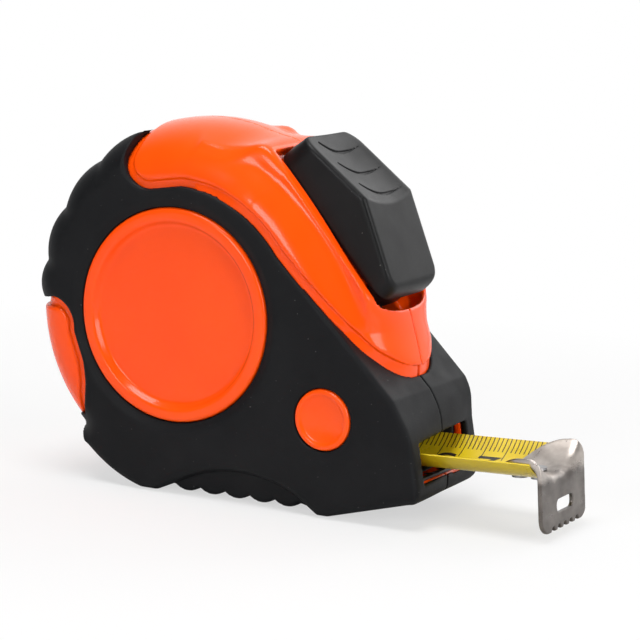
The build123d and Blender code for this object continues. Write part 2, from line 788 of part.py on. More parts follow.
def thumb_frame(s, rise):
    """A frame on the thumb face, with x down the face and z out of it."""
    start = on_slope(1.0, BUTTON_REAR_TALL)
    end = on_slope(BUTTON_BEND_S, BUTTON_BEND_TALL)
    length = math.dist(start, end)
    along = ((end[0] - start[0]) / length, (end[1] - start[1]) / length)
    out = (-along[1], along[0])
    spot = (start[0] + s * along[0] + rise * out[0], start[1] + s * along[1] + rise * out[1])
    return Plane((spot[0], 0, spot[1]), x_dir=(along[0], 0, along[1]), z_dir=(out[0], 0, out[1]))


def thumb_dish():
    """A long round hollow down the thumb face."""
    rise = THUMB_DISH_R - THUMB_DISH_DEPTH
    frame = thumb_frame(THUMB_DISH_START, rise)
    barrel = Plane(frame.origin, x_dir=(0, 1, 0), z_dir=frame.x_dir) * Circle(THUMB_DISH_R)
    half = math.sqrt(THUMB_DISH_R**2 - rise**2)
    wide = 2 * min(half, BUTTON_HALF - 2.0)
    keep = Pos(THUMB_DISH_LENGTH / 2, 0, -rise) * Box(THUMB_DISH_LENGTH, wide, 2 * BUTTON_REAR_TALL)
    return extrude(barrel, THUMB_DISH_LENGTH) & (frame.location * keep)


def thumb_grooves():
    """Curved grip grooves across the thumb face."""
    grooves = None
    for count in range(THUMB_GROOVES):
        start = THUMB_DISH_START - THUMB_GROOVE_R + (count + 0.45) * THUMB_GROOVE_PITCH
        frame = thumb_frame(start, -THUMB_DISH_DEPTH - THUMB_GROOVE)
        arc = frame * (Circle(THUMB_GROOVE_R) - Circle(THUMB_GROOVE_R - THUMB_GROOVE_WIDE))
        half = THUMB_GROOVE_SPAN / 2
        keep = Pos(THUMB_GROOVE_R, 0, 0) * Box(THUMB_GROOVE_R / 2 + 2, 2 * half, 2 * BUTTON_REAR_TALL)
        cut = extrude(arc, BUTTON_REAR_TALL) & (frame.location * keep)
        grooves = cut if grooves is None else grooves + cut
    return grooves


def lock_arm():
    """The arm from the button down to the brake shoe."""
    half = ARM_THICK / 2
    low = -BUTTON_SINK - CLEAR - SHELL_WALL - 1.0
    face = outline(
        on_slope(ARM_S - half, -BUTTON_SINK),
        on_slope(ARM_S - half, low),
        (ARM_KNEE[0] - half, ARM_KNEE[1]),
        (ARM_ANKLE[0] - half, ARM_ANKLE[1]),
        (ARM_ANKLE[0] - half, SHOE_TOP_Z),
        (ARM_ANKLE[0] + half, SHOE_TOP_Z),
        (ARM_ANKLE[0] + half, ARM_ANKLE[1]),
        (ARM_KNEE[0] + half, ARM_KNEE[1]),
        on_slope(ARM_S + half, low),
        on_slope(ARM_S + half, -BUTTON_SINK),
    )
    return bar(face, ARM_HALF)


def blade_top_z(x, y):
    """The height of the blade's hollow side at that x and y."""
    edge_z = BLADE_EDGE_Z + (x - BLADE_REF_X) * math.tan(TILT)
    return edge_z + BEND_CENTRE_Z - math.sqrt(BLADE_TOP_R**2 - y**2)


SHOE_FRONT_X = ARM_ANKLE[0] + SHOE_LENGTH / 2
SHOE_DROP = LOCK_TRAVEL * math.sin(math.radians(SLOPE_DEG))
SHOE_TOP_Z = blade_top_z(SHOE_FRONT_X + LOCK_TRAVEL, SHOE_HALF) + SHOE_DROP + CLEAR + SHOE_TALL


def brake_shoe():
    """The rubber shoe that the lock button presses into the blade."""
    x = (SHOE_FRONT_X - SHOE_LENGTH, SHOE_FRONT_X)
    return box_between(x, (-SHOE_HALF, SHOE_HALF), (SHOE_TOP_Z - SHOE_TALL, SHOE_TOP_Z))


def lock_click_spring():
    """The bent leaf under the channel's floor that clicks against the arm."""
    half = CLICK_SPRING_THICK / 2
    under = -BUTTON_SINK - CLEAR - SHELL_WALL - half
    reach = ARM_S - ARM_THICK / 2 - CLEAR - half
    path = [on_slope(reach - 13.0, under), on_slope(reach - 4.0, under), on_slope(reach, under - 5.0)]
    pieces = []
    for start, end in zip(path, path[1:]):
        pieces.append(strip_between(start, end, CLICK_SPRING_THICK))
    joint = Pos(*path[1]) * Circle(half)
    return bar(pieces[0] + pieces[1] + joint, CLICK_SPRING_HALF)


def strip_between(start, end, thick):
    """A straight strip of that thickness between two points, as a face in x and z."""
    length = math.dist(start, end)
    turn = math.degrees(math.atan2(end[1] - start[1], end[0] - start[0]))
    middle = ((start[0] + end[0]) / 2, (start[1] + end[1]) / 2)
    return Pos(*middle) * Rot(0, 0, turn) * Rectangle(length, thick)


# ---------------------------------------------------------------- side brake
def side_button():
    """The round push button in the right side, a cup with a stem."""
    cap = rod(SIDE_X, SIDE_Z, SIDE_R, BUTTON_FACE_Y - SIDE_SKIRT, BUTTON_FACE_Y)
    cap = fillet(side_edges(cap, -BUTTON_FACE_Y), 0.4)
    inside = SIDE_R - SIDE_SKIRT_WALL
    cap -= rod(SIDE_X, SIDE_Z, inside, BUTTON_FACE_Y - SIDE_SKIRT, BUTTON_FACE_Y - SIDE_CAP_THICK)
    cap -= rod(SIDE_X, SIDE_Z, SIDE_FACE_R, BUTTON_FACE_Y - SIDE_FACE_DEPTH, BUTTON_FACE_Y)
    return cap + rod(SIDE_X, SIDE_Z, STEM_R, WEDGE_REAR_Y, BUTTON_FACE_Y - SIDE_CAP_THICK)


def side_brake_wedge():
    """The wedge on the stem. Its sloping underside pushes the pad down."""
    front = PAD_HALF + 0.2
    face = outline(
        (-WEDGE_REAR_Y, WEDGE_TOP_Z),
        (front, WEDGE_TOP_Z),
        (front, WEDGE_Z + WEDGE_SLOPE * front),
        (-WEDGE_REAR_Y, WEDGE_Z - WEDGE_SLOPE * WEDGE_REAR_Y),
    )
    return across(face, SIDE_X - WEDGE_HALF, 2 * WEDGE_HALF)


def side_brake_pad():
    """The pad under the wedge, which presses on the blade."""
    drop = SIDE_TRAVEL * WEDGE_SLOPE
    low = blade_top_z(SIDE_X + WEDGE_HALF, PAD_HALF) + drop + CLEAR
    gap = WEDGE_GAP
    face = outline(
        (-PAD_HALF, low),
        (PAD_HALF, low),
        (PAD_HALF, WEDGE_Z + WEDGE_SLOPE * PAD_HALF - gap),
        (-PAD_HALF, WEDGE_Z - WEDGE_SLOPE * PAD_HALF - gap),
    )
    return across(face, SIDE_X - WEDGE_HALF, 2 * WEDGE_HALF)


def side_button_spring():
    """The coil spring that pushes the side button back out."""
    wire_r = SIDE_SPRING_WIRE_R
    low = WELL_FLOOR_Y + WELL_WALL + wire_r
    tall = BUTTON_FACE_Y - SIDE_CAP_THICK - wire_r - low
    coil = Helix(pitch=tall / SIDE_SPRING_TURNS, height=tall, radius=SIDE_SPRING_R)
    section = Plane(coil @ 0, z_dir=coil % 0) * Circle(wire_r)
    spring = sweep(section, path=coil)
    return Pos(SIDE_X, -low, SIDE_Z) * Rot(90, 0, 0) * spring


# ---------------------------------------------------------------- mouth guide, screws and clip
def mouth_guide():
    """The ribbed slide plate on the floor of the mouth."""
    sink = BAND_RUBBER + TROUGH_WALL
    low_z = 1.0 + sink
    high_z = LIP_UNDER_Z + sink + LIP_RISE - 0.2
    slope = (high_z - low_z) / (LIP_X - 1.0 - FRONT_FOOT_X)
    end = LIP_X - 1.0
    rear_z = low_z + slope * (GUIDE_START_X - FRONT_FOOT_X)
    face = outline(
        (GUIDE_START_X, rear_z),
        (end, high_z),
        (end, high_z + GUIDE_THICK),
        (GUIDE_START_X, rear_z + GUIDE_THICK),
    )
    plate = bar(face, BAND_HALF - BAND_RUBBER - TROUGH_WALL - 0.2)
    turn = Rot(0, -math.degrees(math.atan(slope)), 0)
    for count in range(GUIDE_RIBS):
        y = (count - (GUIDE_RIBS - 1) / 2) * 6.0
        middle = Pos((GUIDE_START_X + end) / 2, y, (rear_z + high_z) / 2 + GUIDE_THICK)
        plate += middle * turn * Box((end - GUIDE_START_X) * 0.9, 0.8, 0.5)
    return plate


def case_screws():
    """The screws that hold the halves together, from the left."""
    screws = Part()
    for x, z in BOSSES:
        head = rod(x, z, SCREW_HEAD_R, -HEAD_SEAT - SCREW_HEAD, -HEAD_SEAT)
        shank = rod(x, z, SCREW_R, -HEAD_SEAT, SCREW_LENGTH - HEAD_SEAT)
        socket = Box(2.4, 1.4, 0.5) + Box(0.5, 1.4, 2.4)
        screws += head + shank - Pos(x, HEAD_SEAT + SCREW_HEAD, z) * socket
    return screws


def belt_clip():
    """The sprung steel clip on the left side, screwed to the disc's recess."""
    seat = CLIP_IN_Y + CLIP_THICK
    outside = CLIP_OUT_Y + CLIP_THICK
    bend_r = CLIP_GAP / 2
    bend_y = seat + bend_r
    flare_z = CLIP_TIP_Z + CLIP_FLARE_TALL
    face = outline(
        (CLIP_IN_Y, CLIP_FOOT_Z),
        (CLIP_IN_Y, CLIP_TOP_Z),
        ((bend_y, CLIP_TOP_Z + bend_r + CLIP_THICK), (outside, CLIP_TOP_Z)),
        (outside, flare_z),
        (outside + CLIP_FLARE, CLIP_TIP_Z),
        (CLIP_OUT_Y + CLIP_FLARE, CLIP_TIP_Z),
        (CLIP_OUT_Y, flare_z),
        (CLIP_OUT_Y, CLIP_TOP_Z),
        ((bend_y, CLIP_TOP_Z + bend_r), (seat, CLIP_TOP_Z)),
        (seat, CLIP_FOOT_Z),
    )
    clip = across(face, -CLIP_WIDE / 2, CLIP_WIDE)
    clip -= rod(0, AXIS_Z, CLIP_SCREW_R, -seat - BEYOND, -CLIP_IN_Y + BEYOND)
    driver_r = CLIP_SCREW_HEAD_R + 1.0
    return clip - rod(0, AXIS_Z, driver_r, -outside - BEYOND, -CLIP_OUT_Y + BEYOND)


def belt_clip_screw():
    """The screw through the clip's foot into the post."""
    seat = CLIP_IN_Y + CLIP_THICK
    head = rod(0, AXIS_Z, CLIP_SCREW_HEAD_R, -seat - CLIP_SCREW_HEAD, -seat)
    shank = rod(0, AXIS_Z, CLIP_SCREW_R, -seat, -4.0)
    socket = Box(4.2, 1.6, 0.8) + Box(0.8, 1.6, 4.2)
    return head + shank - Pos(0, seat + CLIP_SCREW_HEAD, AXIS_Z) * socket


# ---------------------------------------------------------------- writing
PIECES = {
    "right_shell": right_shell,
    "left_shell": left_shell,
    "right_grip": right_grip,
    "left_grip": left_grip,
    "center_post": center_post,
    "case_screws": case_screws,
    "mouth_guide": mouth_guide,
    "belt_clip": belt_clip,
    "belt_clip_screw": belt_clip_screw,
    "lock_button": lock_button,
    "lock_arm": lock_arm,
    "brake_shoe": brake_shoe,
    "lock_click_spring": lock_click_spring,
    "side_button": side_button,
    "side_button_spring": side_button_spring,
    "side_brake_wedge": side_brake_wedge,
    "side_brake_pad": side_brake_pad,
    "drum": drum,
    "drum_cover": drum_cover,
    "blade_coil": blade_coil,
    "power_spring": power_spring,
    "blade": blade,
    "end_hook": end_hook,
    "hook_rivets": hook_rivets,
}

os.makedirs("parts", exist_ok=True)
for name, make in PIECES.items():
    export_step(Pos(-REAR_FOOT_X, 0, 0) * make(), f"parts/{name}.step")
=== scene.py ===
"""The looks of a pocket tape measure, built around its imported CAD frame.

Shapes are worked out in millimetres, with x from the drum's axis, y from the joint between the case
halves and z from the ground, and are moved to the frame's own origin as their meshes are made.
"""

import math
from itertools import product

import bmesh
import bpy
import numpy as np
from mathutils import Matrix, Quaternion, Vector

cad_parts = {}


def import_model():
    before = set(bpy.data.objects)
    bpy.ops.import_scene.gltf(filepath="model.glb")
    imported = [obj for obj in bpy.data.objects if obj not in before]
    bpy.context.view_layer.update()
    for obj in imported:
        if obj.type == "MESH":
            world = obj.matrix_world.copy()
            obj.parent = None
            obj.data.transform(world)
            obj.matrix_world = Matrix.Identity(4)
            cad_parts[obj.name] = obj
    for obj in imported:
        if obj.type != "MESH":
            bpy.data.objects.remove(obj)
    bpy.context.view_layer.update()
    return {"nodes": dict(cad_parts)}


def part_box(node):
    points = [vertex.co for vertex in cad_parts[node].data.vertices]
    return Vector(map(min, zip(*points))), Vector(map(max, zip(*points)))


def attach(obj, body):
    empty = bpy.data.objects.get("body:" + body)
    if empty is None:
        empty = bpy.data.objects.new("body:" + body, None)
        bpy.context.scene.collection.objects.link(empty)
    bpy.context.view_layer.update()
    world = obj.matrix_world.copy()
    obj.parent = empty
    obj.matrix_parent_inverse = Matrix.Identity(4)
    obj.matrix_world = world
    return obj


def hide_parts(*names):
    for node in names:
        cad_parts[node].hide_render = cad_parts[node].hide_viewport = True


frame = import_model()
MM = 0.001
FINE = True

# ---------------------------------------------------------------- places from the frame
DRUM_LOW, DRUM_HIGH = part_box("drum")
SHIFT_X = (DRUM_LOW.x + DRUM_HIGH.x) / 2 / MM
AXIS_Z = (DRUM_LOW.z + DRUM_HIGH.z) / 2 / MM
SIDE_LOW, SIDE_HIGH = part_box("side_button")
SIDE_R = (SIDE_HIGH.x - SIDE_LOW.x) / 2 / MM
SIDE_X = (SIDE_LOW.x + SIDE_HIGH.x) / 2 / MM - SHIFT_X
SIDE_Z = (SIDE_LOW.z + SIDE_HIGH.z) / 2 / MM
CASE_HALF = -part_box("right_grip")[0].y / MM

# ---------------------------------------------------------------- sizes in millimetres
STEP = 0.4 if FINE else 0.7  # between the points of the case's grid
PANEL_EDGE_R = 2.6
RIM_EDGE_R = 1.1  # the rubber's side edge where it runs along the orange top
PATCH_HALF = 17.2
SHELL_HALF = CASE_HALF - 2.0
CORE_SINK = 1.6  # how far the shells lie under the rubber's edge, and under the nose's front
CORE_NOSE_SINK = 2.4
GAP = 0.06  # between the rubber and the plastic beside it
SEAM_HALF = 0.02  # half the gap between the case halves, wider at the nose from SEAM_X on
SEAM_OPEN = 0.1
SEAM_X = (40.0, 46.0)

TOP_R = 41.7
TOP_START_X = -30.0
BACK_R = 37.0
BACK_EDGE_R = 8.0
DOME_HALF = 17.3
DOME_DEEP = 12.0
DOME_POWER = 2.2
RIM_ARC_R = 77.0
RIM_ARC_CENTRE = (-21.2, 11.1)
RIM_HALF = 13.1
RIM_FLARE = 4.1
RIM_SHOULDER = (3.4, 11.0)  # how deep under the rim its side starts and ends to flare out
RIM_BEAD = 0.6  # how far the bead along the slot stands out
RIM_BEAD_DEEP = 1.8
RIM_BEAD_WIDE = 1.5
RIM_FADE = 5.0  # how far each rim has sunk into the dome where it starts
RIM_FADE_X = (-20.0, -8.0)
RIM_START_X = 6.0
TIP_X = 48.1
TIP_Z = 43.6
TIP_SLANT = 1.2  # how steeply the rim in front of the button comes down
TIP_HALF = 16.8
TIP_HEIGHTS = (28.0, 31.6, 35.7, 39.4, 43.5, 46.0)
TIP_FRONT = (51.6, 51.6, 50.5, 49.4, 48.1, 47.4)  # the tip's front in the middle, at each height
TIP_DEEP = (17.0, 16.5, 12.5, 13.0, 7.7, 6.4)  # how far the tip falls back to the sides, at each height
TIP_POWER = 2.4
COLLAR = (18.6, 73.6)  # the bar behind the button
COLLAR_R = 2.7
COLLAR_HALF = 12.4
LUMP = (10.8, 9.6, 76.9)  # the small lump behind the button, on the left half
LUMP_R = 1.9
LIP_WIDE = 1.6
LIP_SINK = 0.8
LIP_SEAT = 1.0  # how far the lip reaches into the rubber
LIP_NOTCH_X = 46.0  # from here on the lip stops short of the seam
LIP_NOTCH_HALF = 0.4
PATCH_LIP_SINK = 0.9
PATCH_LIP_SEAT = 0.5

SCOOPS = (125.5, 146.5, 167.5)  # the turns at which the hollows between the ridges lie
SCOOP_R = 2.1
SCOOP_NARROWING = 0.9
SCOOP_FLATNESS = 0.55
BELLY_HALF = 13.8
BAND_HALF = 15.2
RIBS = 5
RIBS_LONG = 31.0

DISC_R = 23.25
DISC_FACE_R = 19.3
DISC_SLOPE = 1.4
DISC_RECESS = 1.6
DISC_HALF = CASE_HALF - 0.3
RING_WIDE = 3.0
RING_DEEP = 0.9
SIDE_DISH_R = 11.0  # the hollow in the rubber round the side button
SIDE_DISH_DEEP = 0.7

SLOPE_DEG = 48.0
SLOPE_START = (21.6, 75.4)
BUTTON_LENGTH = 38.5
BUTTON_HALF = 11.0
BUTTON_SINK = 1.5
SKIRT_LONG = 4.0  # the part of the button that goes deeper, behind its front
SKIRT_DEEP = 6.0
LOCK_TRAVEL = 3.2
SLOT_GAP = 0.35
SLOT_CLEAR = 0.3  # at the ends and under the button
SLOT_END = 41.3
SLOT_BOW = 2.6
NOSE_OVER = 1.0  # how far the button's nose reaches past its slot's front at rest

ROOM_R = 30.2
ROOM_HALF = 13.9
ARM_HALF = 5.2
MOUTH_HALF = 13.3
MOUTH_TOP_Z = 17.8
MOUTH_LOW_Z = 9.0
MOUTH_Z = (MOUTH_LOW_Z, MOUTH_TOP_Z)
MOUTH_EDGE_R = 0.3
LINER_START_X = 33.0
LINER_X = 53.0
LINER_WALL = 1.0
LINER_GAP = 0.04
LIP_X = 58.4
NOSE_X = 60.4
NOSE_HEIGHTS = (-2.0, 6.0, 9.0, 18.2, 24.4, 27.0, 30.0)
NOSE_FRONT = (LIP_X, LIP_X, LIP_X, 56.7, 56.2, 55.6, 60.0)  # in the middle, at each height
NOSE_CORNER = (53.6, 26.8)
NOSE_TURN_RIGHT = 0.1  # how much further out the front is for each millimetre to the right
NOSE_TURN_LEFT = -0.065

SIDE_SEAT = 12.4
SCREW_SEAT = 15.0
SCREW_RING_R = 31.8
SCREW_BORE_R = 2.0
SCREW_RIM_R = 2.25  # the hole in the rubber


# ---------------------------------------------------------------- outlines
def polar(radius, degrees):
    """A point by its distance from the drum's axis and its turn from straight ahead."""
    turn = math.radians(degrees)
    return (radius * math.cos(turn), AXIS_Z + radius * math.sin(turn))


def arc_points(start, through, end, count=24):
    """Points along the arc from start to end by way of a third point, without the start."""
    ax, az = start
    bx, bz = through
    cx, cz = end
    d = 2 * (ax * (bz - cz) + bx * (cz - az) + cx * (az - bz))
    a2, b2, c2 = ax * ax + az * az, bx * bx + bz * bz, cx * cx + cz * cz
    ux = (a2 * (bz - cz) + b2 * (cz - az) + c2 * (az - bz)) / d
    uz = (a2 * (cx - bx) + b2 * (ax - cx) + c2 * (bx - ax)) / d
    radius = math.dist(start, (ux, uz))
    first = math.atan2(az - uz, ax - ux)
    mid = (math.atan2(bz - uz, bx - ux) - first) % math.tau
    last = (math.atan2(cz - uz, cx - ux) - first) % math.tau
    sweep = last if mid < last else last - math.tau
    turns = [first + sweep * n / count for n in range(1, count + 1)]
    return [(ux + radius * math.cos(t), uz + radius * math.sin(t)) for t in turns]


def outline(start, *steps):
    """The points of a closed outline. A step is the next corner, or an arc's (through, end)."""
    points = [start]
    for step in steps:
        if isinstance(step[0], tuple):
            points += arc_points(points[-1], step[0], step[1])
        else:
            points.append(step)
    return points


def path_distance(points, x, z):
    """The distance to an open path over a grid."""
    best = np.full(x.shape, 1e9)
    for (ax, az), (bx, bz) in zip(points, points[1:]):
        ex, ez = bx - ax, bz - az
        t = np.clip(((x - ax) * ex + (z - az) * ez) / max(ex * ex + ez * ez, 1e-12), 0, 1)
        best = np.minimum(best, (x - ax - t * ex) ** 2 + (z - az - t * ez) ** 2)
    return np.sqrt(best)


def outline_distance(points, x, z):
    """The distance to an outline over a grid, negative inside."""
    closed = points + points[:1]
    inside = np.zeros(x.shape, bool)
    for (ax, az), (bx, bz) in zip(closed, closed[1:]):
        if az != bz:
            inside ^= ((az <= z) != (bz <= z)) & (x < ax + (z - az) * (bx - ax) / (bz - az))
    return np.where(inside, -1, 1) * path_distance(closed, x, z)


BOUNDARY = [
    (80.0, 0.69),
    NOSE_CORNER,
    (25.6, 54.5),
    ((14.6, 63.8), (1.4, 67.0)),
    (-6.4, 65.8),
    ((-11.6, 68.3), (-13.1, 72.2)),
    (-12.4, 77.4),
]


RIDGES = (  # the crest of each ridge down the back, and the valley after it
    (polar(40.2, 114.0), polar(38.6, 125.0)),
    (polar(39.0, 135.0), polar(37.5, 146.0)),
    (polar(38.3, 154.0), polar(36.8, 166.0)),
    (polar(37.8, 173.0), polar(36.7, 180.0)),
)


def panel_outline():
    """The rubber as its side shows it."""
    return outline(
        (-8.0, 0.0),
        (-4.0, 0.0),
        (2.5, 3.2),
        ((15.5, 6.6), (30.5, 3.7)),
        (36.0, 0.0),
        (38.4, 0.0),
        (NOSE_X - 3.0, 5.2),
        ((NOSE_X - 0.6, 6.4), (NOSE_X, 8.9)),
        (58.7, 18.4),
        *BOUNDARY[1:],
        polar(40.0, 104.0),
        *RIDGES,
        (-31.0, 40.1),
        ((-27.2, 38.0), (-25.5, 33.0)),
        (-22.9, 26.2),
        (-22.3, 22.0),
        (-22.5, 14.6),
        polar(BACK_R, 223.0),
        (polar(39.0, 244.0), (-8.0, 0.0)),
    )


def back_outline():
    """The round back under the ridges and the patch, open towards the front, top and bottom."""
    return outline(
        (90.0, -40.0),
        (90.0, 120.0),
        (8.0, 120.0),
        polar(40.0, 102.0),
        *RIDGES,
        polar(BACK_R, 183.0),
        (polar(BACK_R, 205.0), polar(BACK_R, 227.0)),
        (-70.0, -40.0),
    )


def hump_outline():
    """Where the orange top shows, as seen from the side. It runs on past the skyline."""
    return outline(*BOUNDARY, (-12.0, 95.0), (80.0, 95.0))


def patch_outline():
    """Where the orange patch low on the back shows. It runs on past the skyline."""
    return outline(
        (-60.0, 39.4),
        (-31.0, 39.4),
        ((-27.2, 38.0), (-25.5, 33.0)),
        (-22.9, 26.2),
        (-22.3, 22.0),
        (-22.6, 14.4),
        (-34.0, 3.0),
    )


def belly_outline(sink, rise):
    """The trough under the drum and the blade, sunk into the rubber's underside."""
    return outline(
        (-3.0, 4.6 + sink),
        (0.0, 1.6 + sink),
        (31.0, 1.6 + sink),
        (37.2, 1.0 + sink),
        (LIP_X - 1.0, 5.1 + sink + rise),
        (LIP_X - 0.4, 5.4 + sink + rise),
        (LIP_X - 0.4, 13.0),
        (31.0, 16.0),
        (-3.0, 16.0),
    )


def band_outline():
    """The rubber under the belly, with its finger ribs."""
    ribs = []
    pitch = RIBS_LONG / RIBS
    for count in range(RIBS):
        start = count * pitch
        ribs.append(((start + pitch * 0.55, 0.45), (start + pitch, 1.6)))
    return outline(
        (-3.0, 4.0),
        (0.0, 1.6),
        *ribs,
        (36.2, 0.6),
        (LIP_X - 1.2, 5.1),
        (LIP_X, 6.3),
        (LIP_X, 12.0),
        (31.0, 12.0),
        (-3.0, 12.0),
    )


# ---------------------------------------------------------------- fields, negative inside
def spans(*stops):
    """Grid places from (end, step) pairs that follow a start."""
    places = [stops[0]]
    for end, step in stops[1:]:
        count = max(1, round((end - places[-1]) / step))
        places += list(np.linspace(places[-1], end, count + 1)[1:])
    return np.array(places)


XS = spans(-42.6, (62.6, STEP))
ZS = spans(-1.4, (83.4, STEP))
AS = spans(-0.12, (0.12, 0.08), (0.9, 0.26), (11.4, 0.9), (CASE_HALF + 1.2, STEP))
X2, Z2 = np.meshgrid(XS, ZS, indexing="ij")
X, A, Z = XS[:, None, None], AS[None, :, None], ZS[None, None, :]
R2 = np.hypot(X2, Z2 - AXIS_Z)


def deep(flat):
    """A field over the side view, spread through the case's width."""
    return flat[:, None, :]


def smooth_min(a, b, k):
    """Two fields joined, with a fillet of about that width."""
    h = np.clip(0.5 + 0.5 * (b - a) / k, 0, 1)
    return b + (a - b) * h - k * h * (1 - h)


def smooth_max(a, b, k):
    """What two fields share, with its edge rounded over about that width."""
    return -smooth_min(-a, -b, k)


def ramp(value, low, high):
    """A soft step from 0 to 1 between two values."""
    t = np.clip((value - low) / (high - low), 0, 1)
    return t * t * (3 - 2 * t)


def rounded(first, second, edge):
    """What two fields share, with a corner of that radius."""
    first, second = first + edge, second + edge
    outside = np.hypot(np.maximum(first, 0), np.maximum(second, 0))
    return outside + np.minimum(np.maximum(first, second), 0) - edge


def prism(flat, half, edge):
    """An outline's field made solid to that half width, with its side edge rounded."""
    return rounded(deep(flat), A - half, edge)


def true_distance(field):
    """The field divided by its slope, so that it is a distance near its surface."""
    slope = np.gradient(field, XS, AS, ZS)
    return field / np.maximum(np.sqrt(sum(part * part for part in slope)), 0.2)


def box_field(x, half, z, edge=0.0):
    """A box across the case from its (low, high) pairs."""
    px = np.abs(X - sum(x) / 2) - (x[1] - x[0]) / 2 + edge
    py = A - half + edge
    pz = np.abs(Z - sum(z) / 2) - (z[1] - z[0]) / 2 + edge
    out = np.sqrt(np.maximum(px, 0) ** 2 + np.maximum(py, 0) ** 2 + np.maximum(pz, 0) ** 2)
    return out + np.minimum(np.maximum(px, np.maximum(py, pz)), 0) - edge


def slope_place(x, z):
    """How far down the button's slope and how far out of it a point is."""
    turn = math.radians(SLOPE_DEG)
    dx, dz = x - SLOPE_START[0], z - SLOPE_START[1]
    return dx * math.cos(turn) - dz * math.sin(turn), dx * math.sin(turn) + dz * math.cos(turn)


SCREWS = (polar(SCREW_RING_R, 135.0), polar(SCREW_RING_R, 221.0), (38.0, 6.9), (49.6, 22.9))
PANEL = outline_distance(panel_outline(), X2, Z2)
BACK = outline_distance(back_outline(), X2, Z2)
PATCH = outline_distance(patch_outline(), X2, Z2)
HUMP = outline_distance(hump_outline(), X2, Z2)
SEAM = deep(SEAM_HALF + SEAM_OPEN * ramp(X2, *SEAM_X))


def hump_field():
    """The orange top: a dome over the drum that runs into two rims beside the button and a tip."""
    rise = deep(np.maximum(1 - (TOP_R - R2) / DOME_DEEP, 0))
    dome = (rise**DOME_POWER + (np.maximum(A, 0) / DOME_HALF) ** DOME_POWER) ** (1 / DOME_POWER) - 1
    dome = true_distance(dome * DOME_DEEP)
    rim_in = RIM_ARC_R - np.hypot(X2 - RIM_ARC_CENTRE[0], Z2 - RIM_ARC_CENTRE[1])
    behind = X2 * (AXIS_Z - RIM_ARC_CENTRE[1]) < (Z2 - AXIS_Z) * -RIM_ARC_CENTRE[0]
    rim_in = np.where(behind, np.minimum(rim_in, TOP_R - R2), rim_in)
    rim_in -= RIM_FADE * ramp(-X2, *RIM_FADE_X)
    flare = RIM_FLARE * ramp(rim_in, *RIM_SHOULDER)
    flare = flare + RIM_BEAD * np.exp(-(((rim_in - RIM_BEAD_DEEP) / RIM_BEAD_WIDE) ** 2))
    rims = smooth_max(deep(-rim_in), A - RIM_HALF - deep(flare), 1.2)
    across = np.clip(np.abs(A) / TIP_HALF, 0, 1) ** TIP_POWER
    fall = deep(np.interp(Z2, TIP_HEIGHTS, TIP_DEEP))
    tip = deep(X2 - np.interp(Z2, TIP_HEIGHTS, TIP_FRONT))
    tip = tip + fall * (1 - np.sqrt(1 - np.clip(across, 0, 0.999)))
    rims = smooth_max(rims, true_distance(tip), 1.0)
    rims = smooth_max(rims, deep(Z2 - TIP_Z - TIP_SLANT * (TIP_X + 0.1 - X2)), 0.8)
    rims = np.maximum(rims, deep(RIM_START_X - X2))
    collar = np.hypot(X - COLLAR[0], Z - COLLAR[1]) - COLLAR_R
    collar = smooth_max(collar, A - COLLAR_HALF, 1.5)
    whole = smooth_min(smooth_min(dome, rims, 3.5), collar, 2.0)
    bulge = smooth_max(whole, deep(HUMP + LIP_WIDE), 0.9)
    lip = np.maximum(whole + LIP_SINK, deep(HUMP - LIP_SEAT))
    lip = np.maximum(lip, np.minimum(deep(X2 - LIP_NOTCH_X), LIP_NOTCH_HALF - A))
    return np.maximum(np.minimum(bulge, lip), deep(TOP_START_X - X2))


def patch_field():
    """The orange patch, raised inside a lower lip."""
    whole = prism(BACK, PATCH_HALF, BACK_EDGE_R)
    bulge = smooth_max(whole, deep(PATCH + LIP_WIDE), 0.8)
    return np.minimum(bulge, np.maximum(whole + PATCH_LIP_SINK, deep(PATCH - PATCH_LIP_SEAT)))


def disc_field():
    """The round disc in the side, dished inside a sloping rim."""
    disc = prism(R2 - DISC_R + GAP, DISC_HALF, 1.0)
    dish = DISC_HALF - DISC_RECESS * ramp(-R2, -DISC_FACE_R - DISC_SLOPE, -DISC_FACE_R)
    return smooth_max(disc, A - deep(dish), 0.25)


def inner_room():
    """The hollow that the drum, the blade and the lock arm need."""
    room = np.maximum(deep(R2 - ROOM_R), A - ROOM_HALF)
    room = np.minimum(room, box_field((0.0, NOSE_X + 5), MOUTH_HALF, MOUTH_Z, MOUTH_EDGE_R))
    room = np.minimum(room, liner_block())
    room = np.minimum(room, box_field((34.0, 43.4), ARM_HALF, (30.0, 62.0)))
    return np.minimum(room, box_field((38.0, 47.4), ARM_HALF, (12.0, 38.0)))


def liner_block():
    """The room that the dark lining of the mouth takes up, the blade's way included."""
    height = (MOUTH_LOW_Z - LINER_WALL, MOUTH_TOP_Z + LINER_WALL)
    return box_field((LINER_START_X, LINER_X), MOUTH_HALF + LINER_WALL, height)


def slot_plan(s, a):
    """The slot's outline seen down onto its slope, with a bowed front end."""
    front = s - SLOT_END + SLOT_BOW * (a / BUTTON_HALF) ** 3
    return smooth_max(front, a - BUTTON_HALF - SLOT_GAP, 2.0)


def slot_field():
    """The pocket that the button slides in."""
    s, n = slope_place(X2, Z2)
    walls = slot_plan(deep(s), np.maximum(A, 0))
    bed = np.maximum(-s, -BUTTON_SINK - n)
    well = np.maximum(BUTTON_LENGTH - SKIRT_LONG - s, -SKIRT_DEEP - n)
    return np.maximum(walls, deep(np.minimum(bed, well) - SLOT_CLEAR))


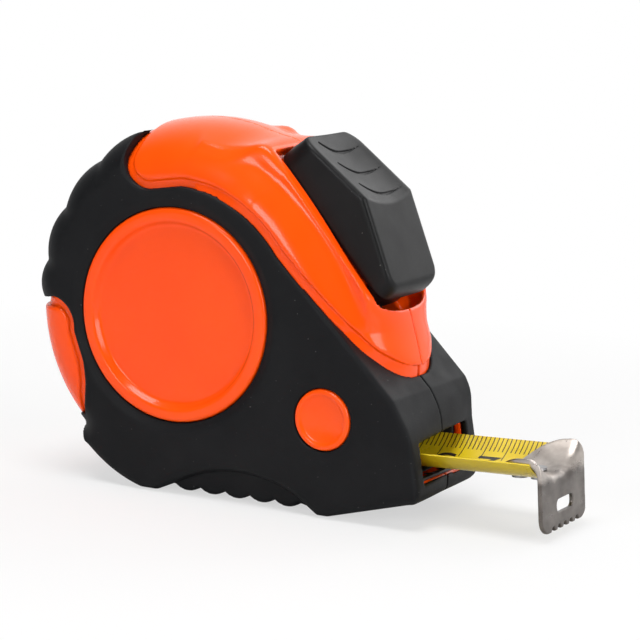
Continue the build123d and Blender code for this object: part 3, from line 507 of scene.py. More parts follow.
def shell_outside():
    """Everything orange, before it is hollowed."""
    core = np.maximum(panel_field() + CORE_SINK, A - SHELL_HALF)
    core = np.maximum(core, nose_field() + CORE_NOSE_SINK)
    belly = prism(outline_distance(belly_outline(1.4, 1.6), X2, Z2), BELLY_HALF, 0.4)
    field = np.minimum(core, hump_field())
    for part in (disc_field(), patch_field(), belly):
        field = np.minimum(field, part)
    return field


def panel_field():
    """The rubber's main body, with a rounder edge at the back and a tighter one along the orange top."""
    near_rim = ramp(-np.minimum(np.abs(HUMP), np.abs(PATCH)), -6.0, -2.0)
    edge = deep(PANEL_EDGE_R + (RIM_EDGE_R - PANEL_EDGE_R) * near_rim)
    return np.maximum(prism(PANEL, CASE_HALF, edge), prism(BACK, CASE_HALF, BACK_EDGE_R))


def rubber_field(outside, with_button):
    """One rubber jacket."""
    band = prism(outline_distance(band_outline(), X2, Z2), BAND_HALF, 0.8)
    field = smooth_min(panel_field(), band, 0.6)
    turn = NOSE_TURN_RIGHT if with_button else NOSE_TURN_LEFT
    field = smooth_max(field, nose_field() - turn * A, 1.4)
    ring = CASE_HALF - RING_DEEP * ramp(-R2, -DISC_R - RING_WIDE, -DISC_R)
    field = smooth_max(field, A - deep(ring), 0.5)
    for degrees in SCOOPS:
        field = smooth_max(field, -scoop_field(degrees), 0.5)
    if with_button:
        away = np.hypot(X2 - SIDE_X, Z2 - SIDE_Z)
        dish = CASE_HALF - SIDE_DISH_DEEP * np.clip(1 - (away / SIDE_DISH_R) ** 2, 0, 1) ** 1.2
        field = smooth_max(field, A - deep(dish), 0.3)
        field = smooth_max(field, deep(SIDE_R + 0.12 - away), 0.2)
    field = np.maximum(field, deep(DISC_R + GAP - R2))
    field = np.maximum(field, -(outside - GAP))
    return np.maximum(field, -box_field((50.0, NOSE_X + 5), MOUTH_HALF, MOUTH_Z, MOUTH_EDGE_R))


def nose_field():
    """Everything behind the nose's front."""
    return X - deep(np.interp(Z2, NOSE_HEIGHTS, NOSE_FRONT))


def scoop_field(degrees):
    """A tear-drop hollow where a valley of the back meets the side."""
    start, end = polar(40.0, degrees - 1.5), polar(33.8, degrees + 2.0)
    ex, ez = end[0] - start[0], end[1] - start[1]
    t = np.clip(((X - start[0]) * ex + (Z - start[1]) * ez) / (ex * ex + ez * ez), 0, 1)
    away = np.sqrt((X - start[0] - t * ex) ** 2 + (Z - start[1] - t * ez) ** 2)
    under = (np.maximum(A, 0) - CASE_HALF - 1.6) * SCOOP_FLATNESS
    return np.sqrt(away**2 + under**2) - SCOOP_R + SCOOP_NARROWING * t


# ---------------------------------------------------------------- meshes from fields
def surface_net(field, axes):
    """Points, quads and normals of the surface where the field is zero, one point to a cell."""
    inside = field < 0
    shape = tuple(n - 1 for n in field.shape)
    count = np.zeros(shape, np.int8)
    for i, j, k in product((0, 1), repeat=3):
        count += inside[i : i + shape[0], j : j + shape[1], k : k + shape[2]]
    active = (count > 0) & (count < 8)
    cells = np.argwhere(active)
    number = np.full(shape, -1, np.int64)
    number[active] = np.arange(len(cells))
    total = np.zeros((len(cells), 3))
    hits = np.zeros(len(cells))
    for axis in range(3):
        step = np.eye(3, dtype=int)[axis]
        others = [other for other in range(3) if other != axis]
        for u, v in product((0, 1), repeat=2):
            start = cells.copy()
            start[:, others[0]] += u
            start[:, others[1]] += v
            end = start + step
            a, b = field[tuple(start.T)], field[tuple(end.T)]
            cut = (a < 0) != (b < 0)
            t = np.where(cut, a / np.where(cut, a - b, 1.0), 0.0)
            place = np.stack([axes[m][start[:, m]] for m in range(3)], 1)
            place[:, axis] += t * (axes[axis][end[:, axis]] - axes[axis][start[:, axis]])
            total[cut] += place[cut]
            hits[cut] += 1
    points = total / hits[:, None]
    quads = []
    for axis in range(3):
        b, c = (axis + 1) % 3, (axis + 2) % 3
        low = [slice(None)] * 3
        high = [slice(None)] * 3
        low[axis], high[axis] = slice(0, -1), slice(1, None)
        low[b] = high[b] = slice(1, -1)
        low[c] = high[c] = slice(1, -1)
        first, second = inside[tuple(low)], inside[tuple(high)]
        for leaves in (True, False):
            edges = np.argwhere((first != second) & (first == leaves))
            around = []
            for u, v in ((0, 0), (1, 0), (1, 1), (0, 1)):
                cell = edges.copy()
                cell[:, b] += u
                cell[:, c] += v
                around.append(number[tuple(cell.T)])
            if not leaves:
                around.reverse()
            quads.append(np.stack(around, 1))
    slope = np.gradient(field, *axes)  # the rest pulls the points onto the surface
    cell_size = min(float(np.diff(axis).min()) for axis in axes)
    for _ in range(3):
        value, normal = sample(field, axes, points), sample_all(slope, axes, points)
        size = np.maximum((normal**2).sum(1), 1e-6)
        move = -(value / size)[:, None] * normal
        reach = np.linalg.norm(move, axis=1)
        points += move * np.minimum(1, 0.4 * cell_size / np.maximum(reach, 1e-9))[:, None]
    normal = sample_all(slope, axes, points)
    normal /= np.maximum(np.linalg.norm(normal, axis=1), 1e-9)[:, None]
    return points, np.concatenate(quads), normal


def sample(values, axes, points):
    """The values of a grid field between its grid points."""
    index, part = [], []
    for m in range(3):
        i = np.clip(np.searchsorted(axes[m], points[:, m]) - 1, 0, len(axes[m]) - 2)
        index.append(i)
        part.append((points[:, m] - axes[m][i]) / (axes[m][i + 1] - axes[m][i]))
    total = np.zeros(len(points))
    for corner in product((0, 1), repeat=3):
        weight = np.ones(len(points))
        for m in range(3):
            weight = weight * (part[m] if corner[m] else 1 - part[m])
        total += weight * values[tuple(index[m] + corner[m] for m in range(3))]
    return total


def sample_all(fields, axes, points):
    """Several grid fields sampled at once, side by side."""
    return np.stack([sample(field, axes, points) for field in fields], 1)


def add_object(name, data):
    """A new object in the scene."""
    obj = bpy.data.objects.new(name, data)
    bpy.context.scene.collection.objects.link(obj)
    return obj


def make_object(name, points, quads, normals=None):
    """An object from points in the drum's frame, in millimetres."""
    mesh = bpy.data.meshes.new(name)
    moved = (np.asarray(points, float) + (SHIFT_X, 0, 0)) * MM
    if isinstance(quads, np.ndarray):
        quads = quads.tolist()
    mesh.from_pydata(moved.tolist(), [], quads)
    mesh.update()
    mesh.shade_smooth()
    if normals is not None:
        mesh.normals_split_custom_set_from_vertices(normals.tolist())
    return add_object(name, mesh)


def tube_faces(rows, around):
    """The faces of a closed tube whose points come ring by ring."""
    faces = []
    for n, m in product(range(rows - 1), range(around)):
        a, b = n * around + m, n * around + (m + 1) % around
        faces.append((a, b, b + around, a + around))
    faces.append(list(reversed(range(around))))
    faces.append([(rows - 1) * around + m for m in range(around)])
    return faces


def half_object(name, field, side):
    """One case half from its field. Side is -1 for the right half and 1 for the left."""
    points, quads, normals = surface_net(field, (XS, AS, ZS))
    points[:, 1] *= side
    normals[:, 1] *= side
    if side < 0:
        quads = quads[:, ::-1]
    return make_object(name, points, quads, normals)


def dress(obj, body, slot, material, *nodes):
    """Gives the piece its body and material and hides the CAD nodes that it stands for; the slot is not
    used.
    """
    obj.data.materials.clear()
    obj.data.materials.append(material)
    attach(obj, body)
    if nodes:
        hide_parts(*nodes)
    return obj


# ---------------------------------------------------------------- materials
SOCKETS = {
    "specular": "Specular IOR Level",
    "coat": "Coat Weight",
    "coat_rough": "Coat Roughness",
    "metal": "Metallic",
}


def add_node(tree, kind, values=None, **settings):
    """A new shader node's outputs. Its inputs are set to numbers or linked to other outputs."""
    node = tree.nodes.new("ShaderNode" + kind)
    for name, setting in settings.items():
        setattr(node, name, setting)
    for name, value in (values or {}).items():
        if isinstance(value, bpy.types.NodeSocket):
            tree.links.new(value, node.inputs[name])
        else:
            node.inputs[name].default_value = value
    return node.outputs


class Finish:
    """A node material whose colour, gloss and fine relief vary over the piece."""

    def __init__(self, name):
        self.material = bpy.data.materials.new(name)
        self.material.use_nodes = True
        self.tree = self.material.node_tree
        self.shader = self.tree.nodes["Principled BSDF"]
        self.place = self.node("TexCoord")["Object"]

    def node(self, kind, values=None, **settings):
        return add_node(self.tree, kind, values, **settings)

    def noise(self, scale, detail=3.0, stretch=None):
        place = self.place
        if stretch:
            place = self.node("Mapping", {"Vector": place, "Scale": stretch})["Vector"]
        return self.node("TexNoise", {"Vector": place, "Scale": scale, "Detail": detail})["Fac"]

    def spread(self, value, low, high, into_low=0.0, into_high=1.0):
        ends = {"From Min": low, "From Max": high, "To Min": into_low, "To Max": into_high}
        return self.node("MapRange", {"Value": value, **ends})["Result"]

    def patches(self, scale, detail, low, high):
        return self.spread(self.noise(scale, detail), low, high)

    def mix(self, factor, first, second):
        first, second = ((*c, 1.0) if isinstance(c, tuple) else c for c in (first, second))
        return self.node("Mix", {"Factor": factor, "A": first, "B": second}, data_type="RGBA")["Result"]

    def math(self, operation, first, second=0.0):
        return self.node("Math", {0: first, 1: second}, operation=operation)[0]

    def feed(self, name, output):
        self.tree.links.new(output, self.shader.inputs[name])

    def colour(self, factor, first, second):
        self.feed("Base Color", self.mix(factor, first, second))

    def rough(self, value, low, high):
        self.feed("Roughness", self.spread(value, 0.3, 0.7, low, high))

    def bump(self, value, depth, strength=1.0):
        values = {"Height": value, "Distance": depth, "Strength": strength}
        self.feed("Normal", self.node("Bump", values)["Normal"])

    def set(self, **values):
        for name, value in values.items():
            self.shader.inputs[SOCKETS[name]].default_value = value


def glossy_orange():
    """Moulded orange plastic with a soft gloss and the faintest flow marks."""
    finish = Finish("orange_plastic")
    drift = finish.patches(28.0, 4.0, 0.35, 0.65)
    finish.colour(drift, (0.95, 0.070, 0.0006), (1.0, 0.086, 0.0016))
    finish.rough(finish.noise(90.0, 4.0), 0.2, 0.27)
    finish.bump(finish.noise(60.0, 2.0), 0.00006)
    finish.set(specular=0.2, coat=0.2, coat_rough=0.04)
    return finish.material


def matt_rubber():
    """Soft black rubber with a fine grain, a little dust and a few pale specks."""
    finish = Finish("black_rubber")
    dust = finish.patches(55.0, 6.0, 0.45, 0.75)
    base = finish.mix(dust, (0.0042, 0.0045, 0.0055), (0.0072, 0.0075, 0.0085))
    specks = finish.patches(1500.0, 1.0, 0.77, 0.83)
    finish.colour(specks, base, (0.07, 0.068, 0.066))
    finish.rough(finish.noise(140.0, 5.0), 0.5, 0.62)
    finish.bump(finish.noise(4200.0, 3.0), 0.000035, 0.7)
    finish.set(specular=0.16)
    return finish.material


def satin_black():
    """The lock button's black plastic, finely etched on top."""
    finish = Finish("button_plastic")
    drift = finish.patches(80.0, 5.0, 0.35, 0.7)
    base = finish.mix(drift, (0.0035, 0.0035, 0.0039), (0.006, 0.006, 0.0065))
    specks = finish.patches(1300.0, 1.0, 0.78, 0.84)
    finish.colour(specks, base, (0.10, 0.10, 0.097))
    finish.rough(finish.noise(160.0, 4.0), 0.36, 0.46)
    finish.bump(finish.noise(5200.0, 3.0), 0.00003, 0.6)
    finish.set(specular=0.2)
    return finish.material


def dark_plastic():
    """Plain dark plastic inside the case."""
    finish = Finish("inner_plastic")
    drift = finish.patches(70.0, 4.0, 0.35, 0.7)
    finish.colour(drift, (0.014, 0.014, 0.015), (0.026, 0.026, 0.027))
    finish.rough(finish.noise(120.0, 4.0), 0.42, 0.6)
    finish.bump(finish.noise(2600.0, 3.0), 0.00003, 0.6)
    return finish.material


def drawn_grain(finish, rough, stretch):
    """Makes it bare metal with a drawn grain, and returns the soft stains for its colour."""
    grain = finish.noise(900.0, 3.0, stretch)
    finish.rough(grain, rough, rough + 0.14)
    finish.bump(grain, 0.00002, 0.5)
    finish.set(metal=1.0)
    return finish.patches(170.0, 6.0, 0.35, 0.68)


def brushed_metal(name, dark, light, rough, stretch):
    """Plain metal."""
    finish = Finish(name)
    finish.colour(drawn_grain(finish, rough, stretch), dark, light)
    return finish.material


def worn_nickel():
    """The hook's plating with soft stains: painted shade darkens the plate and a painted highlight
    lightens the saddle.
    """
    finish = Finish("nickel_steel")
    stain = drawn_grain(finish, 0.26, (1.0, 0.25, 1.0))
    # painted shade: the darker colour of the lower plate
    plate = finish.mix(stain, (0.105, 0.092, 0.084), (0.20, 0.18, 0.165))
    # painted highlight: the lighter colour of the saddle on top
    saddle = finish.mix(stain, (0.36, 0.32, 0.29), (0.58, 0.53, 0.49))
    # painted light by height: the shaded plate colour below, the highlighted saddle colour on top
    height = finish.node("SeparateXYZ", {"Vector": finish.place})["Z"]
    edge = finish.math("ADD", height, finish.math("MULTIPLY", stain, 0.0012))
    finish.colour(finish.spread(edge, 0.0122, 0.0138), plate, saddle)
    return finish.material


BLADE_WIDTH = 25.0
BLADE_BEND_R = 16.4  # in the middle of its thickness
BLADE_TOP_R = 16.25
BLADE_THICK = 0.3
BEND_CENTRE = BLADE_BEND_R * math.cos(BLADE_WIDTH / 2 / BLADE_BEND_R)
BLADE_TILT = math.radians(2.24)
BLADE_REF = (58.0, 15.2)
ZERO_U = (83.0 - BLADE_REF[0]) / math.cos(BLADE_TILT)
TAIL_U = (11.5 - BLADE_REF[0]) / math.cos(BLADE_TILT)
BLADE_SHORT = 1.05  # how far the blade stops behind the inside of the hook
UNDERSIDE = -100.0  # what the printed map says under the blade, where nothing is printed

SHORT_TICK = 8.4  # where the marks start, across the blade
LONG_TICK = 5.4
TICK_HALF = 0.12
ARROW_TIP = 8.0  # the red arrow beside the hook
ARROW_START = 3.4
ARROW_MIDDLE = 3.0
ARROW_HALF = 4.0
FIGURES = 7
FIGURE_TALL = 7.2
FIGURE_EDGE = 6.5
FIGURE_SHIFT = 2.2


def blade_yellow():
    """Yellow paint with a millimetre scale, measured from the inside of the hook."""
    finish = Finish("blade_paint")
    split = finish.node("SeparateXYZ", {"Vector": finish.node("UVMap", uv_map="scale")["UV"]})
    along, across = split["X"], split["Y"]
    ticks = None
    for pitch, start in ((1.0, SHORT_TICK), (5.0, LONG_TICK)):
        turn = finish.math("FRACT", finish.math("ADD", finish.math("DIVIDE", along, pitch), 0.5))
        near = finish.math("ABSOLUTE", finish.math("SUBTRACT", turn, 0.5))
        line = finish.math("LESS_THAN", near, TICK_HALF / pitch)
        mark = finish.math("MULTIPLY", line, finish.math("GREATER_THAN", across, start))
        ticks = mark if ticks is None else finish.math("MAXIMUM", ticks, mark)
    room = finish.math("SUBTRACT", ARROW_TIP, along)
    off_middle = finish.math("ABSOLUTE", finish.math("SUBTRACT", across, ARROW_MIDDLE))
    arrow = finish.math("GREATER_THAN", room, off_middle)
    arrow = finish.math("MULTIPLY", arrow, finish.math("GREATER_THAN", along, ARROW_START))
    arrow = finish.math("MULTIPLY", arrow, finish.math("GREATER_THAN", ARROW_HALF, off_middle))
    drift = finish.patches(120.0, 5.0, 0.35, 0.68)
    paint = finish.mix(drift, (0.58, 0.42, 0.006), (0.67, 0.50, 0.012))
    paint = finish.mix(arrow, paint, (0.55, 0.02, 0.015))
    finish.colour(ticks, paint, (0.03, 0.02, 0.01))
    finish.rough(finish.noise(260.0, 4.0), 0.26, 0.36)
    finish.bump(finish.noise(700.0, 2.0), 0.00001)
    finish.set(coat=0.2, coat_rough=0.12)
    return finish.material


def print_black():
    """The printed figures."""
    finish = Finish("blade_ink")
    wear = finish.patches(900.0, 4.0, 0.3, 0.75)
    finish.colour(wear, (0.012, 0.011, 0.010), (0.03, 0.027, 0.02))
    finish.rough(finish.noise(600.0, 3.0), 0.3, 0.42)
    finish.bump(finish.noise(3000.0, 2.0), 0.00001)
    return finish.material


ORANGE = glossy_orange()
RUBBER = matt_rubber()
BUTTON = satin_black()
INNER = dark_plastic()
YELLOW = blade_yellow()
INK = print_black()
NICKEL_WITH_PAINTED_LIGHT = worn_nickel()
STEEL = brushed_metal("steel", (0.30, 0.30, 0.31), (0.45, 0.45, 0.46), 0.3, (1.0, 1.0, 0.2))
SPRING = brushed_metal("spring_steel", (0.20, 0.20, 0.21), (0.34, 0.34, 0.35), 0.34, (1.0, 0.2, 1.0))


# ---------------------------------------------------------------- case
def shells():
    """The two orange halves. Only the left one has the small lump behind the button."""
    outside = shell_outside()
    room = np.minimum(inner_room(), slot_field())
    for name, side in (("right_shell", -1), ("left_shell", 1)):
        field = outside
        if side > 0:
            x, a, z = LUMP
            lump = np.sqrt(((X - x) / 1.7) ** 2 + ((A - a) / 1.4) ** 2 + (Z - z) ** 2) - LUMP_R
            field = smooth_min(field, lump, 1.2)
            bores = [(x, z, SCREW_BORE_R, SCREW_SEAT) for x, z in SCREWS]
        else:
            bores = [(SIDE_X, SIDE_Z, SIDE_R + 0.1, SIDE_SEAT)]
        for x, z, r, seat in bores:
            bore = deep(np.hypot(X2 - x, Z2 - z) - r)
            field = np.maximum(field, -np.maximum(bore, seat - A))
        field = np.maximum(smooth_max(field, -room, 0.5), SEAM - A)
        dress(half_object(name + "_skin", field, side), "case", "orange_plastic", ORANGE, name)
    return outside


def grips(outside):
    """The two rubber jackets."""
    for name, side in (("right_grip", -1), ("left_grip", 1)):
        field = np.maximum(rubber_field(outside, side < 0), SEAM - A)
        if side > 0:
            for x, z in SCREWS:
                field = smooth_max(field, deep(SCREW_RIM_R - np.hypot(X2 - x, Z2 - z)), 0.3)
        dress(half_object(name + "_skin", field, side), "case", "black_rubber", RUBBER, name)


def mouth_liner():
    """The dark lining behind the mouth, all round the blade's way."""
    way = box_field((0.0, NOSE_X), MOUTH_HALF, MOUTH_Z)
    field = np.maximum(liner_block() + LINER_GAP, -way)
    for name, side in (("mouth_liner_right", -1), ("mouth_liner_left", 1)):
        dress(half_object(name, field, side), "case", "inner_plastic", INNER)


def side_button():
    """The round button low on the right side, dished like the disc above it."""
    face, back = -SIDE_LOW.y / MM, -SIDE_HIGH.y / MM
    dish, wall, centre = 0.45, 1.0, 0.02
    profile = [(centre, face - dish), (4.7, face - dish), (5.05, face - 0.3), (5.35, face - 0.06)]
    profile += [(5.5, face), (SIDE_R - 0.7, face), (SIDE_R - 0.3, face - 0.12)]
    profile += [(SIDE_R - 0.08, face - 0.4), (SIDE_R, face - 0.8), (SIDE_R, back)]
    profile += [(SIDE_R - wall, back), (SIDE_R - wall, face - 1.6), (centre, face - 1.6)]
    turns = 96
    points, quads = [], []
    for n in range(turns):
        turn = math.tau * n / turns
        points += [(SIDE_X + r * math.cos(turn), -a, SIDE_Z + r * math.sin(turn)) for r, a in profile]
    rows = len(profile)
    for n, m in product(range(turns), range(rows - 1)):
        a, b = n * rows + m, (n + 1) % turns * rows + m
        quads.append((a, a + 1, b + 1, b))
    quads.append([n * rows for n in reversed(range(turns))])
    quads.append([n * rows + rows - 1 for n in range(turns)])
    obj = make_object("side_button_cap", points, quads)
    round_off(obj, 0.12)
    dress(obj, "side_button", "orange_plastic", ORANGE, "side_button")


def side_spring():
    """The side button's spring, drawn pressed so that the button clears it through its stroke."""
    wire, radius, start, end = 0.25, 3.6, 13.45, 14.3
    turns, steps, around = 2, 32, 10
    rows = turns * steps + 1
    points = []
    for n, m in product(range(rows), range(around)):
        turn, ring = math.tau * n / steps, math.tau * m / around
        place = start + (end - start) * n / (rows - 1)
        r = radius + wire * math.cos(ring)
        a = place + wire * math.sin(ring)
        points.append((SIDE_X + r * math.cos(turn), -a, SIDE_Z + r * math.sin(turn)))
    obj = make_object("side_spring_coil", points, tube_faces(rows, around))
    dress(obj, "case", "spring_steel", SPRING, "side_button_spring")


def round_off(obj, width):
    """Rounds the piece's edges by that many millimetres."""
    bevel = obj.modifiers.new("edges", "BEVEL")
    bevel.width = width * MM
    bevel.segments = 2
    bevel.limit_method = "ANGLE"
    bevel.harden_normals = True


# ---------------------------------------------------------------- lock button
BUTTON_REAR = (1.1, 6.4)  # the ends of its top, down the slope and out of it
BUTTON_CREST = (19.9, 9.9)
BUTTON_DISH = 1.05
BUTTON_DISH_HALF = 9.9
GROOVES = ((3.2, 6.3), (9.4, 12.9), (15.8, 19.2))  # start and lowest point of each, down the slope
GROOVE_HALF = 6.8
GROOVE_SHIFT = 1.2
GROOVE_RISE = 0.6  # how far the far end rises again
GROOVE_DEEP = 0.34


def groove_path(start, low):
    """One grip groove, steep at its near end and nearly level at its far one."""
    curve = []
    for n in range(21):
        t = n / 10 - 1
        rise = (low - start) * max(-t, 0) ** 2.4 + GROOVE_RISE * max(t, 0) ** 2
        curve.append((low - rise, GROOVE_SHIFT + GROOVE_HALF * t))
    return curve


def lock_button():
    """The thumb button: a dished top with three grip grooves and a flat front."""
    step = 0.2 if FINE else 0.4
    ss = spans(-1.0, (39.8, step))
    ys = spans(-11.8, (11.8, step))
    ns = spans(-SKIRT_DEEP - 0.7, (10.8, step))
    S, Y, N = ss[:, None, None], ys[None, :, None], ns[None, None, :]
    s2, n2 = np.meshgrid(ss, ns, indexing="ij")
    side = outline_distance(
        outline(
            (0.0, -BUTTON_SINK),
            (0.1, 0.2),
            BUTTON_REAR,
            BUTTON_CREST,
            (37.4, 3.4),
            ((38.9, 2.2), (BUTTON_LENGTH + NOSE_OVER, 0.2)),
            (BUTTON_LENGTH + NOSE_OVER, -SKIRT_DEEP),
            (BUTTON_LENGTH - SKIRT_LONG, -SKIRT_DEEP),
            (BUTTON_LENGTH - SKIRT_LONG, -BUTTON_SINK),
        ),
        s2,
        n2,
    )[:, None, :]
    half = (BUTTON_LENGTH + NOSE_OVER) / 2
    px, py = np.abs(S - half) - half, np.abs(Y) - BUTTON_HALF
    px = px + 1.2 * (np.abs(Y) / BUTTON_HALF) ** 3 * ramp(S, 20.0, 30.0)
    corner = 5.4 - 2.4 * ramp(S, 6.0, 20.0)
    field = smooth_max(side, rounded(px, py, corner) + 0 * N, 1.3)
    under_nose = np.maximum(-slot_plan(S + LOCK_TRAVEL + SLOT_CLEAR, np.abs(Y)), N + 0.9)
    field = smooth_max(field, -under_nose, 0.3)
    rise = (BUTTON_CREST[1] - BUTTON_REAR[1]) / (BUTTON_CREST[0] - BUTTON_REAR[0])
    top = BUTTON_REAR[1] + (S - BUTTON_REAR[0]) * rise
    hollow = BUTTON_DISH * np.clip(1 - (Y / BUTTON_DISH_HALF) ** 2, 0, 1) ** 0.9
    hollow = hollow * (0.55 + 0.45 * ramp(S, 1.5, 7.0))
    field = smooth_max(field, (N - top + hollow) * 0.97, 0.25)
    sy, yy = np.meshgrid(ss, ys, indexing="ij")
    for start, low in GROOVES:
        cut = path_distance(groove_path(start, low), sy, yy)[:, :, None]
        wide = 0.36 - 0.32 * ramp(yy[:, :, None], 0.0, 8.4)
        field = np.maximum(field, -np.maximum(cut - wide, top - hollow - GROOVE_DEEP - N))
    points, quads, normals = surface_net(field, (ss, ys, ns))
    turn = math.radians(SLOPE_DEG)
    down, out = (math.cos(turn), 0, -math.sin(turn)), (math.sin(turn), 0, math.cos(turn))
    turned = np.array((down, (0, 1, 0), out))
    points = points @ turned + (SLOPE_START[0], 0, SLOPE_START[1])
    obj = make_object("lock_button_cap", points, quads, normals @ turned)
    dress(obj, "lock", "button_plastic", BUTTON, "lock_button")


# ---------------------------------------------------------------- blade and hook
def on_blade(along, side, up):
    """A point from the blade's own frame: along it, to its left and out of its hollow."""
    return (
        BLADE_REF[0] + along * math.cos(BLADE_TILT) - up * math.sin(BLADE_TILT),
        side,
        BLADE_REF[1] + along * math.sin(BLADE_TILT) + up * math.cos(BLADE_TILT),
    )


def on_gutter(along, arc, radius):
    """A point on the blade's curve, by the arc from its middle."""
    turn = arc / BLADE_BEND_R
    return on_blade(along, radius * math.sin(turn), BEND_CENTRE - radius * math.cos(turn))


def blade():
    """The strip, hollow side up, with a map of its length and width for the printed scale."""
    rows = 24
    columns = 40
    points, scale = [], []
    ring = [(arc, BLADE_TOP_R) for arc in np.linspace(BLADE_WIDTH / 2, -BLADE_WIDTH / 2, columns)]
    ring += [(arc, BLADE_TOP_R + BLADE_THICK) for arc, _ in reversed(ring)]
    for along, (arc, radius) in product(np.linspace(TAIL_U, ZERO_U - BLADE_SHORT, rows), ring):
        points.append(on_gutter(along, arc, radius))
        scale.append((ZERO_U - along, arc if radius == BLADE_TOP_R else UNDERSIDE))
    obj = make_object("blade_strip", points, tube_faces(rows, len(ring)))
    layer = obj.data.uv_layers.new(name="scale")
    for loop in obj.data.loops:
        layer.data[loop.index].uv = scale[loop.vertex_index]
    for polygon in obj.data.polygons:
        if any(scale[v][1] == UNDERSIDE for v in polygon.vertices):
            for index in polygon.loop_indices:
                layer.data[index].uv[1] = UNDERSIDE
    obj.data.set_sharp_from_angle(angle=math.radians(40))
    dress(obj, "blade", "blade_paint", YELLOW, "blade")


def figure(number, along):
    """A printed figure, upright for a reader on the left, cut into slices and bent onto the blade."""
    slices, widening, ink = 12, 1.15, 0.03
    curve = bpy.data.curves.new("figure_shape", "FONT")
    curve.body = str(number)
    curve.size = 1.0
    shape = add_object("figure_shape", curve)
    mesh = bpy.data.meshes.new_from_object(shape.evaluated_get(bpy.context.evaluated_depsgraph_get()))
    bpy.data.objects.remove(shape)
    form = bmesh.new()
    form.from_mesh(mesh)
    low = min(v.co.y for v in form.verts)
    high = max(v.co.y for v in form.verts)
    middle = (min(v.co.x for v in form.verts) + max(v.co.x for v in form.verts)) / 2
    size = FIGURE_TALL / (high - low)
    for n in range(1, slices):
        cut = low + (high - low) * n / slices
        whole = form.verts[:] + form.edges[:] + form.faces[:]
        bmesh.ops.bisect_plane(form, geom=whole, plane_co=(0, cut, 0), plane_no=(0, 1, 0))
    points = []
    for v in form.verts:
        arc = FIGURE_EDGE - (v.co.y - low) * size
        points.append(on_gutter(along - (v.co.x - middle) * size * widening, arc, BLADE_TOP_R - ink))
    form.verts.index_update()
    faces = [[v.index for v in face.verts] for face in form.faces]
    form.free()
    obj = make_object(f"blade_figure_{number}", points, faces)
    dress(obj, "blade", "blade_paint", INK)


SADDLE_START = 1.0
SADDLE_LONG = 10.0
SADDLE_HALF = 11.4
SADDLE_POWER = 2.5
HOOK_THICK = 0.95
HOOK_FRONT = 1.05
HOOK_BEND = 2.6
HOOK_HALF = 11.6
HOOK_SHIFT = 0.5  # how far the plate lies to the left of the blade's middle
HOOK_LOW = -14.8
HOOK_CORNER_R = 3.6
HOOK_LEAN = math.radians(2.0)
HOOK_HOLE = (0.7, -9.9)  # the middle of the oblong hole, and half its size
HOOK_HOLE_HALF = (4.1, 1.35)
HOOK_HOLE_R = 1.1
NOTCHES = 5
NOTCH_PITCH = 3.0
NOTCH_SHIFT = 0.6
NOTCH_R = 0.85


def end_hook():
    """The nickel-plated hook: one sheet that runs from the saddle over a soft bend into the plate."""
    step = 0.2 if FINE else 0.35
    us = spans(-12.0, (2.4, step))
    ys = spans(-12.2, (12.8, step))
    ws = spans(-15.8, (2.0, step))
    U, Y, W = us[:, None, None], ys[None, :, None], ws[None, None, :]
    front = U * math.cos(HOOK_LEAN) + W * math.sin(HOOK_LEAN)
    height = W * math.cos(HOOK_LEAN) - U * math.sin(HOOK_LEAN)
    radius = np.hypot(Y, W - BEND_CENTRE)
    sheet = smooth_max(BLADE_TOP_R - HOOK_THICK - radius + 0 * U, front - HOOK_FRONT, HOOK_BEND)
    sheet = np.maximum(sheet, -(sheet + HOOK_THICK))
    back = np.clip(-U - SADDLE_START, 0, None) / SADDLE_LONG
    trim = (back**SADDLE_POWER + (np.abs(Y) / SADDLE_HALF) ** SADDLE_POWER) ** (1 / SADDLE_POWER) - 1
    trim = trim * SADDLE_LONG + 0 * W
    plate = rounded(np.abs(Y - HOOK_SHIFT) - HOOK_HALF, HOOK_LOW - height, HOOK_CORNER_R)
    field = smooth_max(sheet, smooth_max(trim, plate, 0.3), 0.3)
    hole_y = np.abs(Y - HOOK_HOLE[0]) - HOOK_HOLE_HALF[0]
    hole_z = np.abs(height - HOOK_HOLE[1]) - HOOK_HOLE_HALF[1]
    cuts = [rounded(hole_y, hole_z, HOOK_HOLE_R)]
    for count in range(NOTCHES):
        y = (count - (NOTCHES - 1) / 2) * NOTCH_PITCH + NOTCH_SHIFT
        cuts.append(np.hypot(Y - y, (height - HOOK_LOW) * 0.75) - NOTCH_R)
    for cut in cuts:
        field = smooth_max(field, -np.maximum(cut, -3.0 - U), 0.15)
    points, quads, normals = surface_net(field, (us, ys, ws))
    place = np.stack(on_blade(points[:, 0] + ZERO_U + 0.3, points[:, 1], points[:, 2]), 1)
    turned = np.stack(on_blade(normals[:, 0], normals[:, 1], normals[:, 2]), 1) - on_blade(0, 0, 0)
    obj = make_object("end_hook_sheet", place, quads, turned)
    dress(obj, "hook", "nickel_steel", NICKEL_WITH_PAINTED_LIGHT, "end_hook")


# ---------------------------------------------------------------- pieces kept from the frame
def keep_cad(material, *nodes):
    """Gives CAD nodes that stay as they are their material."""
    for name in nodes:
        obj = frame["nodes"][name]
        obj.data.materials.clear()
        obj.data.materials.append(material)


keep_cad(INNER, "drum", "drum_cover", "mouth_guide", "lock_arm", "side_brake_wedge")
keep_cad(RUBBER, "brake_shoe", "side_brake_pad")
keep_cad(YELLOW, "blade_coil")
keep_cad(STEEL, "center_post", "case_screws", "belt_clip", "belt_clip_screw", "hook_rivets")
keep_cad(SPRING, "power_spring", "lock_click_spring")

grips(shells())
mouth_liner()
side_button()
side_spring()
lock_button()
blade()
for number in range(1, FIGURES + 1):
    figure(number, ZERO_U - 10 * number + FIGURE_SHIFT)
end_hook()


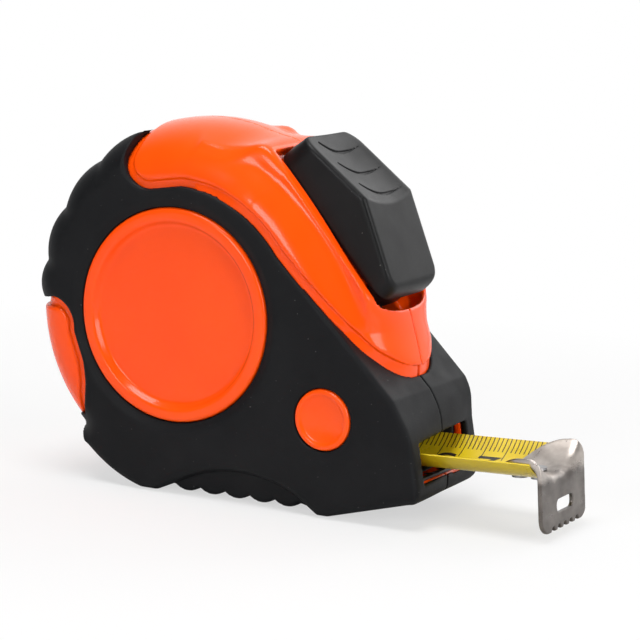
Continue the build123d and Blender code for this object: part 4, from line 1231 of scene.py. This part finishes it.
# ---------------------------------------------------------------- floor, light and camera
def floor():
    """A pale floor that keeps the object's shadow and runs off to the same white as the background."""
    size = 3.0
    fade = (0.07, 0.24, 0.6, 1.0)  # where the fade starts and ends, and how white it is there
    mesh = bpy.data.meshes.new("floor")
    corners = [(-size, -size), (size, -size), (size, size), (-size, size)]
    mesh.from_pydata([(x, y, -0.0001) for x, y in corners], [], [(0, 1, 2, 3)])
    obj = add_object("floor", mesh)
    finish = Finish("floor")
    drift = finish.patches(4.0, 2.0, 0.3, 0.7)
    finish.colour(drift, (0.63, 0.63, 0.63), (0.66, 0.66, 0.66))
    finish.rough(finish.noise(8.0, 2.0), 0.85, 0.95)
    length = finish.node("VectorMath", {0: finish.place}, operation="LENGTH")["Value"]
    seen = finish.node("LightPath")["Is Camera Ray"]
    factor = finish.math("MULTIPLY", finish.spread(length, *fade), seen)
    glow = finish.node("Emission", {"Strength": 1.0})["Emission"]
    blend = finish.node("MixShader", {"Fac": factor, 1: finish.shader.outputs["BSDF"], 2: glow})
    finish.tree.links.new(blend["Shader"], finish.tree.nodes["Material Output"].inputs["Surface"])
    mesh.materials.append(finish.material)


def softbox(name, place, size, power):
    """A square soft light that looks at the middle of the object."""
    lamp = bpy.data.lights.new(name, "AREA")
    lamp.size = size
    lamp.energy = power
    obj = add_object(name, lamp)
    obj.location = place
    obj.rotation_euler = (Vector(MIDDLE) - Vector(place)).to_track_quat("-Z", "Y").to_euler()


ROOM = 0.1  # how bright the room in front of the object is for all but the camera
BACKDROP = 1.0  # and the white paper behind it


def world():
    """White where the camera looks past the object, and a soft fill for the rest."""
    scene_world = bpy.data.worlds.new("studio")
    scene_world.use_nodes = True
    bpy.context.scene.world = scene_world
    tree = scene_world.node_tree
    facing = add_node(tree, "SeparateXYZ", {"Vector": add_node(tree, "TexCoord")["Generated"]})["Y"]
    ends = {"From Min": -0.3, "From Max": 0.7, "To Min": ROOM, "To Max": BACKDROP}
    behind = add_node(tree, "MapRange", {"Value": facing, **ends}, interpolation_type="SMOOTHSTEP")
    seen = add_node(tree, "LightPath")["Is Camera Ray"]
    level = add_node(tree, "MapRange", {"Value": seen, "To Min": behind["Result"], "To Max": 1.0})
    backdrop = tree.nodes["Background"]
    backdrop.inputs["Color"].default_value = (1, 1, 1, 1)
    tree.links.new(level["Result"], backdrop.inputs["Strength"])


VIEW_AZIMUTH = math.radians(28.779)
VIEW_RISE = math.radians(9.559)
VIEW_ROLL = math.radians(1.546)
VIEW_AIM = (0.032649, 0, 0.03852)
VIEW_AWAY = 0.51656


def camera():
    """The photograph's view, with the object turned to show its right side and its nose."""
    level = math.cos(VIEW_RISE)
    ahead, aside = math.cos(VIEW_AZIMUTH) * level, math.sin(VIEW_AZIMUTH) * level
    back = Vector((aside, -ahead, math.sin(VIEW_RISE)))
    lens = bpy.data.cameras.new("camera")
    lens.lens = 135.0
    lens.sensor_width = 36.0
    obj = add_object("camera", lens)
    obj.location = Vector(VIEW_AIM) + back * VIEW_AWAY
    obj.rotation_mode = "QUATERNION"
    obj.rotation_quaternion = Quaternion(back, VIEW_ROLL) @ (-back).to_track_quat("-Z", "Y")
    bpy.context.scene.camera = obj


floor()
world()
MIDDLE = (0.03, 0.0, 0.04)
softbox("top_light", (0.0, -0.15, 0.80), 0.4, 5.0)
softbox("left_light", (-0.06, -0.94, 0.36), 0.34, 3.4)
softbox("back_light", (0.20, 0.80, 0.46), 0.5, 1.5)
softbox("right_light", (0.75, -0.20, 0.30), 0.4, 3.4)
camera()
bpy.context.scene.view_settings.view_transform = "Standard"
